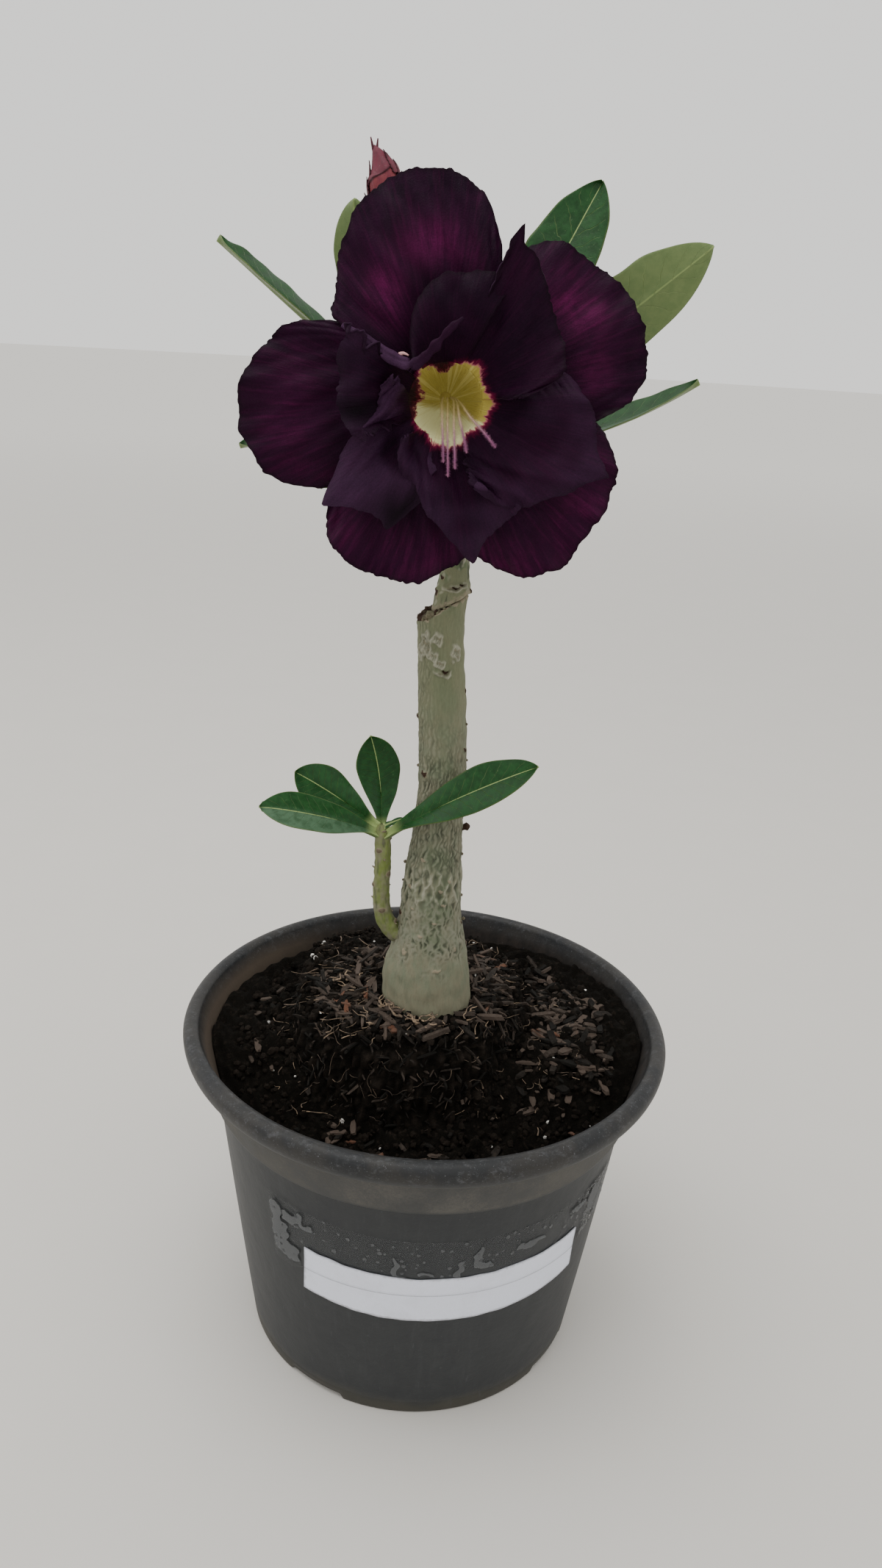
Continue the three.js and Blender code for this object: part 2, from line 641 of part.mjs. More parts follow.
function nub(x, y, z, radius) {
  return new THREE.IcosahedronGeometry(radius, 0).translate(x, y, z);
}

function rootstockGeometry() {
  const stations = TRUNK.map(([z, x, y, r]) => [x, y, z, r]);
  let stock = solid(stem(stations, 37, 21, barkNet)).subtract(aboveCut(0));
  // Callus: a corky ridge of small lumps along the edge of the cut.
  const rise = Math.tan(radians(GRAFT.slope));
  for (let i = 0; i < 9; i++) {
    const bearing = radians(90 + 22.5 * i);
    const x = -1.9 + 5.6 * Math.cos(bearing);
    const y = 5.5 * Math.sin(bearing);
    if (Math.hypot(x - 0.9, y) < 6.1) continue;
    stock = stock.add(solid(nub(x, y, GRAFT.z + (x - GRAFT.x) * rise - 1.1, 1.15)));
  }
  // Dried leaf scars and one dead spur on the right.
  const scars = [
    [6.6, -3.4, 169, 0.9],
    [8.2, 1, 178.4, 1.5],
    [-6.6, -3, 187, 1],
    [7.3, 1, 207, 0.8],
    [9.4, 1, 160, 0.9],
    [-9.3, 0, 156, 0.9],
    [-10.4, 1, 133, 1.5],
  ];
  for (const scar of scars) stock = stock.add(solid(nub(...scar)));
  return geometryFrom(stock);
}

function scionGeometry() {
  const stations = SCION.map(([z, x, y, r]) => [x, y, z, r]);
  const grown = solid(stem(stations, 14, 14, (a, z) => 0.18 * Math.sin(3 * a + z) * Math.sin(z / 3)));
  return geometryFrom(grown.intersect(aboveCut(GAP)));
}

function shootGeometry() {
  const scarred = (a, z) => 0.16 * Math.sin(2 * a + z / 2) * Math.sin(z);
  let shoot = solid(stem(SHOOT, 15, 10, scarred));
  for (let i = 0; i < 8; i++) {
    const t = 0.27 + 0.07 * i;
    const a = 2.4 * i;
    const [x, y, z, r] = [0, 1, 2, 3].map((c) => along(SHOOT, t, c));
    shoot = shoot.add(
      solid(nub(x + r * Math.cos(a), y + r * Math.sin(a), z, 0.7)),
    );
  }
  // The shoot meets the trunk along a plain face, clear of the bark.
  const trunk = TRUNK.map(([z, x, y, r]) => [x, y, z, r + GAP + 0.15]);
  const bark = stem(trunk, 37, 21, (a, z) => Math.max(0, barkNet(a, z)));
  return geometryFrom(shoot.subtract(solid(bark)).subtract(solid(nub(-10.4, 1, 133, 1.9))));
}

// ---------------------------------------------------------------- leaves

// Half width of a leaf along its midrib: a short stalk, an obovate blade and a small drawn-out tip.
function leafWidth(t) {
  if (t < LEAF.widest) {
    return THREE.MathUtils.lerp(0.13, 1, Math.sin(((t / LEAF.widest) * Math.PI) / 2) ** 1.7);
  }
  const s = (t - LEAF.widest) / (1 - LEAF.widest);
  return Math.max(0.055, (1 - s ** 2.4) ** 0.62);
}

function leafGeometry(leaf) {
  const curve = new THREE.QuadraticBezierCurve3(v3(leaf.root), v3(leaf.bend), v3(leaf.tip));
  const face = v3(leaf.face).normalize();
  const rows = [];
  for (let j = 0; j <= LEAF.along; j++) {
    const s = j / LEAF.along;
    const t = s * (1.35 - 0.35 * s);
    const here = curve.getPoint(t);
    const way = curve.getTangent(t);
    const side = way.clone().cross(face).normalize();
    const normal = side.clone().cross(way);
    const row = [];
    for (let i = 0; i <= LEAF.across; i++) {
      const u = (2 * i) / LEAF.across - 1;
      const half = Math.max(leaf.half * leafWidth(t), LEAF.stalk * (1 - t));
      const edge = leaf.wave * Math.sin(9 * t + (u > 0 ? 0 : 1.7)) * u * u * Math.sin(Math.PI * t);
      const lift = leaf.fold * half * Math.abs(u) + edge;
      row.push(here.clone().addScaledVector(side, half * u).addScaledVector(normal, lift));
    }
    rows.push(row);
  }
  return sheet(rows, LEAF.thick);
}

// ---------------------------------------------------------------- flower

// Point of the flower's own frame in the part's frame: right, up, and out along the flower's axis.
function fromFlower(right, up, out) {
  const tip = radians(FLOWER.tipUp);
  return v3(FLOWER.centre).add(
    v3([
      right,
      -out * Math.cos(tip) + up * Math.sin(tip),
      out * Math.sin(tip) + up * Math.cos(tip),
    ]),
  );
}

// Radius of the inside of the flower's funnel at a distance behind its mouth.
function funnel(behind) {
  const t = Math.min(1, behind / (FLOWER.tube - 4));
  return FLOWER.mouth * (1 - t) ** 0.75 * 0.8 + FLOWER.mouth * 0.2;
}

// A piece of funnel wall between two depths, as a turned ring about the flower's axis.
function funnelWall(from, to, grow, thickness, closed = false) {
  const steps = 4;
  const outside = evenly(from, to, steps).map((d) => [funnel(d) + grow + thickness, -d]);
  const inside = evenly(from, to, steps).map((d) => [funnel(d) + grow, -d]).reverse();
  const profile = closed
    ? [[0, -to - thickness], [outside.at(-1)[0], -to - thickness], ...outside.reverse(),
      ...inside.slice().reverse(), [0, -to]]
    : [...outside.reverse(), ...inside.slice().reverse(), outside[0]];
  const ring = new THREE.LatheGeometry(
    profile.map(([r, z]) => new THREE.Vector2(r, z)),
    22,
  );
  const place = new THREE.Matrix4().makeBasis(
    fromFlower(1, 0, 0).sub(fromFlower(0, 0, 0)),
    fromFlower(0, 0, 1).sub(fromFlower(0, 0, 0)),
    fromFlower(0, -1, 0).sub(fromFlower(0, 0, 0)),
  );
  return ring.applyMatrix4(place.setPosition(fromFlower(0, 0, 0)));
}

// Reach of a lobe's margin at the share w of the way from its first side to its second.
function marginReach(lobe, w) {
  const cusps = lobe.cusps.map(([at, height]) => height * Math.max(0, 1 - Math.abs(w - at) / LOBE.cuspWidth));
  return along(lobe.reach.map((r) => [r]), w, 0) + cusps.reduce((sum, c) => sum + c, 0);
}

// One lobe, as a fan of curves that spread from the funnel's edge to the margin.
function lobeGeometry(lobe, root, rootOut, seed) {
  const middle = (lobe.from + lobe.to) / 2;
  const rows = [];
  for (let j = 0; j <= LOBE.along; j++) {
    const t = (j / LOBE.along) ** 0.9;
    const row = [];
    for (let i = 0; i <= LOBE.across; i++) {
      const w = i / LOBE.across;
      const u = 2 * w - 1;
      const spread = THREE.MathUtils.smoothstep(t, -0.35, 0.6);
      const rootBearing = middle - LOBE.rootSpread * u;
      const fullBearing = THREE.MathUtils.lerp(lobe.from, lobe.to, w);
      const bearing = radians(THREE.MathUtils.lerp(rootBearing, fullBearing, spread));
      const r = THREE.MathUtils.lerp(root, marginReach(lobe, w), t);
      const height = rootOut * (1 - t) ** 2 + 2 * lobe.rise * t * (1 - t) + lobe.end * t * t;
      const ripple = lobe.wave * t * t * Math.sin(TAU * lobe.waves * w + 1.9 * seed);
      const out = height + (lobe.tilt * u + lobe.cup * u * u) * t + ripple;
      row.push(fromFlower(r * Math.cos(bearing), r * Math.sin(bearing), out));
    }
    rows.push(row);
  }
  return sheet(rows, LOBE.thick);
}

// The curled lobe: a strip whose two edges are turned towards the viewer.
function curlGeometry() {
  const steps = 7;
  const rows = evenly(0, 1, steps).map((t) => {
    const here = [0, 1, 2].map((c) => along(CURL.line, t, c));
    const half = along(CURL.half.map((h) => [h]), t, 0);
    return [1, 0, -1].map((u) =>
      fromFlower(here[0] + 0.6 * half * u, here[1] - 0.8 * half * u, here[2] + 0.5 * u * u),
    );
  });
  return sheet(rows, LOBE.thick);
}

const WALL = 0.8;
const LINING = 0.7;

function throatGeometry() {
  return geometryFrom(solid(funnelWall(0.6, FLOWER.tube - 8, 0, LINING, true)));
}

function innerCorollaGeometry() {
  const grow = LINING + GAP;
  const ring = funnelWall(0.2, 9, grow, WALL);
  const root = FLOWER.mouth + grow + WALL / 2;
  return geometryFrom(
    fused([ring, curlGeometry(), ...INNER_LOBES.map((lobe, i) => lobeGeometry(lobe, root, -1.6, i + 1))]),
  );
}

function outerCorollaGeometry() {
  const grow = LINING + WALL + 2 * GAP;
  const tube = funnelWall(2.2, FLOWER.tube, grow, WALL, true);
  const root = funnel(2.2) + grow + WALL / 2;
  return geometryFrom(
    fused([tube, ...OUTER_LOBES.map((lobe, i) => lobeGeometry(lobe, root, -3.6, i + 4))]),
  );
}

// Five hairy tails of the anthers, joined deep in the throat, hanging out over its lower edge.
function tailsGeometry() {
  const ends = [
    [-0.6, -13.4, 5.4],
    [1.3, -16.4, 6.6],
    [3, -14.6, 6.4],
    [4.9, -11, 5.6],
    [11.4, -9.2, 6.8],
  ];
  const core = [
    [0, 0.6, -22.4],
    [0, 0.9, -16],
    [0, 0.6, -12],
    [0, 0, -8.5],
  ];
  const radii = [0.8, 1.1, 2, 0.8];
  const cone = stem(core.map((p, i) => [...fromFlower(...p).toArray(), radii[i]]), 4, 7);
  const tails = ends.map(([right, up, out]) => {
    const path = [
      [right * 0.1, 0.4, -11.5],
      [right * 0.35, up * 0.12, -5],
      [right * 0.62, up * 0.42, 0.6],
      [right * 0.85, up * 0.74, out * 0.75],
      [right, up, out],
    ];
    return stem(path.map((p, i) => [...fromFlower(...p).toArray(), 0.5 - 0.04 * i]), 6, 4);
  });
  return geometryFrom(fused([cone, ...tails]));
}

// Flower stalk with the calyx: five narrow sepals that clasp the foot of the tube.
function calyxGeometry() {
  const back = -FLOWER.tube - WALL;
  const stalk = [
    [-1.6, -4.7, 285.6, 1.5],
    [-2, -4.9, 287.6, 1.5],
    [...fromFlower(0, 0, back - 2.6).toArray(), 1.8],
    [...fromFlower(0, 0, back - 0.8).toArray(), 2.1],
  ];
  const clasp = (d) => funnel(FLOWER.tube - d) + LINING + 2 * WALL + 3 * GAP + 0.6;
  const outline = [
    [1.2, -0.7, 0.8],
    [clasp(0) + 0.2, -0.7, 2.4],
    [clasp(3) + 0.2, 3, 2.5],
    [clasp(6.5) + 0.2, 6.5, 1.8],
    [clasp(10) + 0.9, 10.5, 0.3],
  ];
  const sepals = [0, 1, 2, 3, 4].map((i) => {
    const a = (TAU * i) / 5 + 0.4;
    const rows = outline.map(([r, out, half]) =>
      [-1, 0, 1].map((u) =>
        fromFlower(
          r * Math.cos(a) - half * u * Math.sin(a),
          r * Math.sin(a) + half * u * Math.cos(a),
          back + out,
        ),
      ),
    );
    return sheet(rows, 0.7);
  });
  return geometryFrom(fused([stem(stalk, 6, 10), ...sepals]));
}

// A closed bud on its stalk: a spindle wrapped in pointed scales whose tips stand free.
function budGeometry() {
  const core = stem(BUD.line, 13, 9);
  const last = BUD.line.length - 1;
  const axis = v3(BUD.line[last]).sub(v3(BUD.line[last - 3])).normalize();
  const east = new THREE.Vector3(1, 0, 0).addScaledVector(axis, -axis.x).normalize();
  const north = axis.clone().cross(east);
  const scales = evenly(BUD.firstScale, BUD.lastScale, BUD.scales - 1).map((start, i) => {
    const rows = evenly(0, 1, 3).map((t) => {
      const way = start + (1 - BUD.lastScale) * t;
      const [x, y, z, radius] = [0, 1, 2, 3].map((c) => along(BUD.line, way, c));
      const r = radius + 0.15 + 0.8 * t * t;
      const half = 3 * (1 - t) ** 0.8 + 0.25;
      return evenly(-1, 1, 2).map((u) => {
        const a = 2.4 * i + 0.5 * t + Math.atan2(half * u, Math.max(r, 2.2));
        return v3([x, y, z])
          .addScaledVector(axis, 1.2 * t * t)
          .addScaledVector(east, r * Math.cos(a))
          .addScaledVector(north, r * Math.sin(a));
      });
    });
    return sheet(rows, 0.7);
  });
  return geometryFrom(fused([core, ...scales]));
}

// ---------------------------------------------------------------- the whole plant

const plant = new THREE.Group();
plant.name = "potted_desert_rose";
plant.add(
  piece("pot", potGeometry(), MATERIALS.pot),
  piece("paper_label", labelGeometry(), MATERIALS.paper),
  piece("clear_tape", tapeGeometry(), MATERIALS.tape),
  piece("potting_mix", mixGeometry(), MATERIALS.mix),
  piece("root_ball", ballGeometry(), MATERIALS.ball),
  piece("rootstock", rootstockGeometry(), MATERIALS.bark),
  piece("scion_stem", scionGeometry(), MATERIALS.bark),
  piece("side_shoot", shootGeometry(), MATERIALS.shoot),
  piece("calyx", calyxGeometry(), MATERIALS.calyx),
  piece("outer_corolla", outerCorollaGeometry(), MATERIALS.petal),
  piece("inner_corolla", innerCorollaGeometry(), MATERIALS.petal),
  piece("throat", throatGeometry(), MATERIALS.throat),
  piece("anther_tails", tailsGeometry(), MATERIALS.tails),
  piece("bud", budGeometry(), MATERIALS.bud),
  ...[...SHOOT_LEAVES, ...CROWN_LEAVES].map((leaf) =>
    piece(leaf.name, leafGeometry(leaf), MATERIALS.leaf),
  ),
);

export default plant;
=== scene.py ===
# A potted desert rose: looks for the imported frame. Shapes are worked out in millimetres and stored in metres.
import math

import bpy
import numpy as np
from mathutils import Matrix, Vector


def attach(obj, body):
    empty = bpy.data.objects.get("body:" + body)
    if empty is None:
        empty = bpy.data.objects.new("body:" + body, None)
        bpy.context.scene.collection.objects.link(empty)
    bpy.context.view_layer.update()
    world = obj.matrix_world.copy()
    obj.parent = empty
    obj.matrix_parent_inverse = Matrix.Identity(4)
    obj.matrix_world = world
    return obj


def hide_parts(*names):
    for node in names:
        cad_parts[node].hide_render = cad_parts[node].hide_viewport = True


bl_info = {
    "name": "Potted desert rose",
    "version": (1, 0, 0),
    "blender": (4, 5, 0),
    "location": "View3D > Sidebar > Desert rose",
    "description": "Builds a grafted desert rose with a double flower in a nursery pot, around its packed frame",
    "category": "Add Mesh",
}

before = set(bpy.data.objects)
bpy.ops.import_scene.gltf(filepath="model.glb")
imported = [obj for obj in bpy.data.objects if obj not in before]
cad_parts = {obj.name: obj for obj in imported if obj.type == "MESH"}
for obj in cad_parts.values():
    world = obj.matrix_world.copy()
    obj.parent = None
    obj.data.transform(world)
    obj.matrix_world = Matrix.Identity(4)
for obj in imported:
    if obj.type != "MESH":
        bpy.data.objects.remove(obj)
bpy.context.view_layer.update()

MM = 0.001
TAU = 2 * math.pi

# ---------------------------------------------------------------- sizes, in millimetres

POT = {
    "height": 107.6, "rim_radius": 75.0, "rim_height": 104.9, "lip_inner": 70.4, "lip_depth": 8.2,
    "collar_foot": 85.5, "collar_radius": 66.2, "shoulder": 64.6, "foot": 53.1, "foot_width": 3.4,
    "foot_height": 2.2, "floor": 2.2, "wall": 1.8, "flare": 7.0,
}
NOTCHES = {"count": 4, "first": -31.5, "half": 9.5, "drain_radius": 4.5, "drain_in": 10.4}

# Bearings on the pot are degrees from the front, to the right.
LABEL = {"first": -31.5, "last": 53.5, "middle": 50.4, "height": 17.2, "rise": 2.1, "lift": 0.2, "thick": 0.25,
         "lean": (1.4, -2.2)}
TAPE = {"first": -42.0, "last": 66.0, "low_end": 50.0, "top": 73.5, "sag": 2.5, "end_rise": 4.5,
        "thick": 0.16}
# Places where the tape is torn and dusty: bearing, level, half width in degrees and half height in millimetres.
TORN = [
    (-39.5, 64.8, 2.5, 8.4), (-34.6, 69.4, 2.4, 1.7), (-36.6, 62, 1.2, 3.4), (-30.0, 69.0, 2.6, 1.3),
    (-31.6, 70.6, 1.0, 2.4), (-36.8, 56.0, 5.2, 3.4), (-4.4, 63.5, 0.9, 3.8), (-3.0, 59.0, 2.4, 1.1),
    (-6.6, 58.6, 1.6, 0.8), (4, 60.6, 2.4, 0.9), (12.5, 62, 1.2, 3.0), (17.5, 66, 1.2, 4.6), (19.8, 63, 1.8, 1.8),
    (33, 66, 5.5, 1.1), (50, 70, 3, 1.0), (58, 68, 3.0, 5.5), (63.5, 62, 1.8, 7),
]

MIX = {"back": 99.5, "front": 79.0, "slope": (-38, -2), "lift": 3.5, "heap": (20, 62), "bottom": 4.7}
BALL = {
    "x": -6.5, "y": 14.0, "top": 113.4, "dome": 3.2, "radius": 35.0, "belly": 40.5, "belly_at": 0.58,
    "foot": 32.0, "squareness": 2.6, "bottom": 44.0, "clear": 41,
}

# How many bodies of each kind are tried on the soil.
LITTER = {"crumbs": 3600, "chips": 1500, "mound_chips": 800, "side_slivers": 420, "foot_slivers": 70, "perlite": 44,
          "fibres": 300, "threads": 80}
# Tufts of dry fibres on the soil: place and count.
TUFTS = [
    (-12.5, -7.5, 9), (-8.8, -10.6, 6), (-1.0, -13.4, 8), (3.2, -14.0, 4), (-22, 2, 5), (13.5, -9, 4), (-17, -14, 4),
    (-27, 8, 3),
]
# Where the trunk leaves the soil, and the radius about it that stays clear of litter.
TRUNK_FOOT = {"x": -0.6, "y": 3.1, "clear": 15.5}

# Rootstock and scion: level, centre x, centre y and radius.
TRUNK = [
    (97, -0.6, 3.2, 9.5), (101, 0.2, 3.2, 12.4), (108, 0.0, 3.1, 13.5), (116, -0.6, 3, 13.7),
    (122.5, -0.8, 2.8, 13.2), (131.4, -0.5, 2.5, 11.2), (140.3, -0.6, 2.2, 9.5), (152.7, -0.4, 1.9, 8.6),
    (164.7, 0, 1.6, 7.6), (175.6, 0.5, 1.3, 6.95), (188, 0.6, 1, 6.9), (207.9, -0.6, 0.6, 6.75),
    (220.7, -1.5, 0.3, 6.5), (231.1, -2.1, 0.1, 6.4), (243, -1.3, 0, 6.2), (258, -0.4, 0, 5.6),
]
SCION = [
    (228, 0.4, 0, 5), (239, 0.5, 0, 4.8), (245, 0.8, 0, 4.15), (268, -0.4, 0, 4.1), (281, -1.2, 0, 4.3),
    (286, -1.4, 0, 3.4), (288.6, -1.4, 0, 1.6),
]
# The slanting cut, and the place and size of what meets there.
GRAFT = {
    "x": -8.5, "z": 232.4, "slope": 31.0, "gap": 0.3, "trunk_x": -2.1, "trunk_radius": 6.4, "callus_radius": 5.35,
    "scion_x": 0.5, "scion_radius": 4.8,
}
# Nets of the bark: level where each begins, lines round the stem, height of a cell, waviness and pale share.
NETS = [(124.0, 26, 8.0, 0.24, 0.7), (148.0, 17, 9.5, 0.1, 1.0), (158.5, 30, 16.0, 0.26, 0.2)]
# Radius of the trunk that the nets are measured on, and half width of their lines.
NET = {"radius": 8.8, "line": 0.36}
# Marks on the rootstock: bearing from the front, level, half width, half height and kind.
MARKS = [
    (-38, 226.6, 1.5, 2.8, "scar"), (-8, 228.6, 1.3, 1.5, "scar"), (-58, 224.0, 1.1, 1.8, "scar"),
    (-20, 223.6, 1.4, 1.2, "scar"), (-2, 221.6, 1.3, 1.0, "scar"),
    (40, 224.8, 1.3, 1.9, "scar"), (9, 219.2, 2.0, 1.1, "hole"), (-48, 188.6, 1.6, 1.3, "brown"),
    (-75, 205.0, 0.9, 0.9, "brown"), (80, 213.0, 0.8, 1.2, "brown"), (62, 196.0, 0.8, 1.0, "brown"),
    (-70, 172.0, 0.8, 1.0, "brown"), (78, 181.0, 0.9, 0.9, "brown"), (24, 148.0, 0.9, 0.5, "fleck"),
    (14, 127.5, 1.6, 0.6, "fleck"), (-70, 143.0, 1.0, 1.4, "brown"), (75, 140.0, 0.8, 1.0, "brown"),
    (-27, 162.0, 1.0, 0.6, "fleck"), (17, 152.6, 0.7, 0.7, "fleck"), (-16, 138.0, 0.8, 0.6, "fleck"),
    (-50, 152.6, 0.9, 0.8, "fleck"), (34, 155.6, 0.6, 0.6, "fleck"), (-41, 132.0, 0.9, 1.2, "fleck"),
    (8, 142.4, 0.8, 0.5, "fleck"), (-38, 146.0, 0.7, 0.5, "fleck"), (48, 133.0, 0.6, 1.0, "fleck"),
    (160, 201.0, 1.4, 2.0, "scar"), (-150, 184.0, 1.3, 1.7, "scar"), (175, 165.0, 1.2, 1.4, "brown"),
]
# Dead spur and dried stubs on the rootstock: bearing from the front, level and size.
STUBS = [
    (88, 168.6, 1.5), (-88, 187.5, 0.6), (83, 160.0, 0.6), (-88, 156.0, 0.7), (86, 190.0, 0.5), (84, 201.0, 0.5),
    (-86, 150.0, 0.5), (120, 190.0, 0.8), (-120, 168.0, 0.8), (85, 146.0, 0.6), (88, 137.5, 0.7),
]
# Slots just above the graft: bearing, height above the cut's lowest point, half width and half height.
SLOTS = [(6, 7.0, 2.6, 0.75), (32, 7.8, 1.9, 0.6)]
# Marks on the scion, in the form of those on the rootstock.
SCION_MARKS = [
    (-66, 241.0, 1.2, 1.6, "brown"), (66, 241.6, 0.9, 1.0, "brown"), (-50, 245.0, 0.9, 0.9, "brown"),
    (20, 251.0, 1.4, 1.4, "scar"), (-40, 257.0, 1.4, 1.3, "scar"), (60, 262.0, 1.3, 1.3, "scar"),
    (-80, 268.0, 1.2, 1.2, "scar"), (0, 272.0, 1.4, 1.2, "scar"), (140, 255.0, 1.5, 1.5, "scar"),
    (200, 265.0, 1.4, 1.3, "scar"),
]
# Side shoot: centre and radius.
SHOOT = [
    (-8.6, 1.4, 133.6, 2.4), (-12, 0.6, 135.8, 2.8), (-14.8, 0, 141, 2.7), (-15.6, 0, 148.5, 2.5),
    (-15.5, 0, 157, 2.4), (-15.7, 0, 164.5, 2.35), (-16.1, 0, 168.4, 2.1), (-16.3, 0, 170.2, 1.1),
]
# Its leaf scars: count, share of its length at the first, step from one to the next and turn in radians.
SHOOT_SCARS = {"count": 11, "first": 0.2, "step": 0.068, "turn": 2.4}

# Leaves: root, bend, tip, the way the upper face looks, half width, fold, height of the edge's waves.
LEAVES = {
    "shoot_leaf_left_low": (
        (-17.0, -0.5, 167.4), (-31, -6, 175.4), (-51, -9, 177.2), (-0.05, -0.62, 0.8), 6.2, 0.12, 0.7),
    "shoot_leaf_left": ((-17.2, 0.6, 169.2), (-30.5, 7, 176.5), (-43, 7, 182.6), (0.15, -0.85, 0.5), 6.6, 0.15, 0.6),
    "shoot_leaf_upright": ((-16.4, 0.7, 167.8), (-16.6, 8, 182), (-20.8, 5, 196), (0.12, -1, 0.25), 6.4, 0.1, 0.3),
    "shoot_leaf_right": (
        (-15.2, -0.6, 167.0), (4, -15, 186.5), (26.4, -22, 198.9), (-0.25, -0.8, 0.65), 6.4, 0.14, 0.5),
    "shoot_leaf_small": ((-15.6, -0.3, 169.8), (-12.8, -1.5, 172), (-9.6, -2.4, 173.6), (-0.2, -0.6, 0.8), 1, 0.1, 0),
    "crown_leaf_1": ((-6.4, -1, 282), (-46, -4, 313), (-62, -5, 324.4), (0.5, -0.16, 0.86), 6.4, 0.25, 0.15),
    "crown_leaf_2": ((-5.8, -2.6, 284.4), (-27, -8, 312), (-28, -14, 334.5), (0.3, 0.9, 0.3), 8, 0.15, 0.4),
    "crown_leaf_3": ((1.6, 4.4, 284), (19, 18, 316), (33.4, 22, 345.2), (-0.35, -0.9, 0.25), 10, 0.12, 0.4),
    "crown_leaf_4": ((3.4, -3, 283), (29, -14, 305), (57.6, -13, 329), (-0.15, 0.95, 0.25), 9.4, 0.08, 0.4),
    "crown_leaf_5": ((3.8, 0.6, 280), (32, 0, 279), (60.6, -1, 297.6), (-0.4, -0.2, 0.9), 6.4, 0.25, 0.4),
    "crown_leaf_6": ((-6.4, 1.6, 279), (-32, 2, 282), (-57, -2, 275.4), (0.05, -0.3, 0.95), 6.8, 0.2, 0.5),
    "crown_leaf_7": ((-4.6, -3.8, 278), (-20, -10, 277), (-34.6, -12, 267.4), (0.3, -0.4, 0.86), 5.2, 0.2, 0.3),
    "crown_leaf_8": ((-1.2, 5, 286), (4, 13, 312), (2, 16, 333), (-0.1, -1, 0.2), 6.6, 0.15, 0.3),
    "crown_leaf_9": ((-4.6, 4.6, 281), (-24, 30, 298), (-34, 50, 306), (0.3, -0.4, 0.86), 7.6, 0.18, 0.5),
    "crown_leaf_10": ((2.6, 4.4, 279), (18, 30, 292), (24, 54, 295), (-0.2, -0.35, 0.9), 7.8, 0.15, 0.5),
    "crown_leaf_11": ((-2.2, 5.2, 276), (-8, 26, 284), (-8, 46, 276), (0, -0.2, 0.96), 7, 0.18, 0.4),
}
LEAF = {"widest": 0.66, "stalk": 1.25, "thick": 0.55}

FLOWER = {"centre": (-3.8, -40, 292.1), "tip_up": 3.0, "tube": 31.0, "mouth": 8.4}

# Corolla lobes. bearings: the two sides in degrees (0 to the right, 90 up). reach: of the margin from the throat's
# centre at even steps between them. rise, end: height on the way and at the margin. tilt: how far the second side
# stands in front. cup: hollow. wave, waves: height and count of the waves. cusps: share of the way, height and, where
# it isn't the usual one, width. glow: lit patches, as share of the way, share of the length, their two half widths and
# their strength. shade: dents darkened with painted shadow, in the same form. slate, slate_from: strength of the
# painted slate sheen of the margin, and the shares of the length where it begins and is full. ragged: how torn the
# sides are.
# root: radius and height of the lobe's foot.
OUTER_LOBES = [
    {"bearings": (148, 68), "reach": (30, 36.5, 43.5, 48, 48, 43.5, 29), "rise": 1, "end": -4, "tilt": 1, "cup": 1,
     "wave": 1.1, "waves": 3.2, "cusps": ((0.03, 1.2),),
     "glow": ((0.3, 0.5, 0.13, 0.2, 1.0), (0.66, 0.6, 0.2, 0.13, 0.75))},
    {"bearings": (72, -5), "reach": (28, 41, 43.8, 47, 47.5, 45.8, 35), "rise": 0, "end": -6, "tilt": 0, "cup": -2,
     "wave": 1.1, "waves": 3.0, "cusps": (),
     "glow": ((0.42, 0.7, 0.2, 0.16, 0.95), (0.75, 0.66, 0.14, 0.14, 0.5))},
    {"bearings": (-5, -78), "reach": (36, 43, 45.3, 46, 46.6, 43, 33), "rise": -1, "end": -6, "tilt": 1, "cup": -2,
     "wave": 1.1, "waves": 3.4, "cusps": ((0.6, 1.6),),
     "glow": ((0.4, 0.85, 0.3, 0.2, 0.5), (0.8, 0.9, 0.2, 0.2, 0.45))},
    {"bearings": (-74, -140), "reach": (35, 38.5, 42.4, 43.2, 43.7, 41.5, 34), "rise": -2, "end": -5, "tilt": 1,
     "cup": -1, "wave": 1.2, "waves": 3.0, "cusps": (),
     "glow": ((0.35, 0.8, 0.3, 0.2, 0.45), (0.8, 0.85, 0.2, 0.2, 0.35))},
    {"bearings": (220, 145), "reach": (32, 43.5, 47, 48, 44.5, 38.5, 26), "rise": -1, "end": -5, "tilt": 2, "cup": -2,
     "wave": 1.2, "waves": 3.2, "cusps": ((0.38, 1.4),),
     "glow": ((0.45, 0.68, 0.22, 0.2, 0.4), (0.15, 0.8, 0.15, 0.15, 0.3))},
]
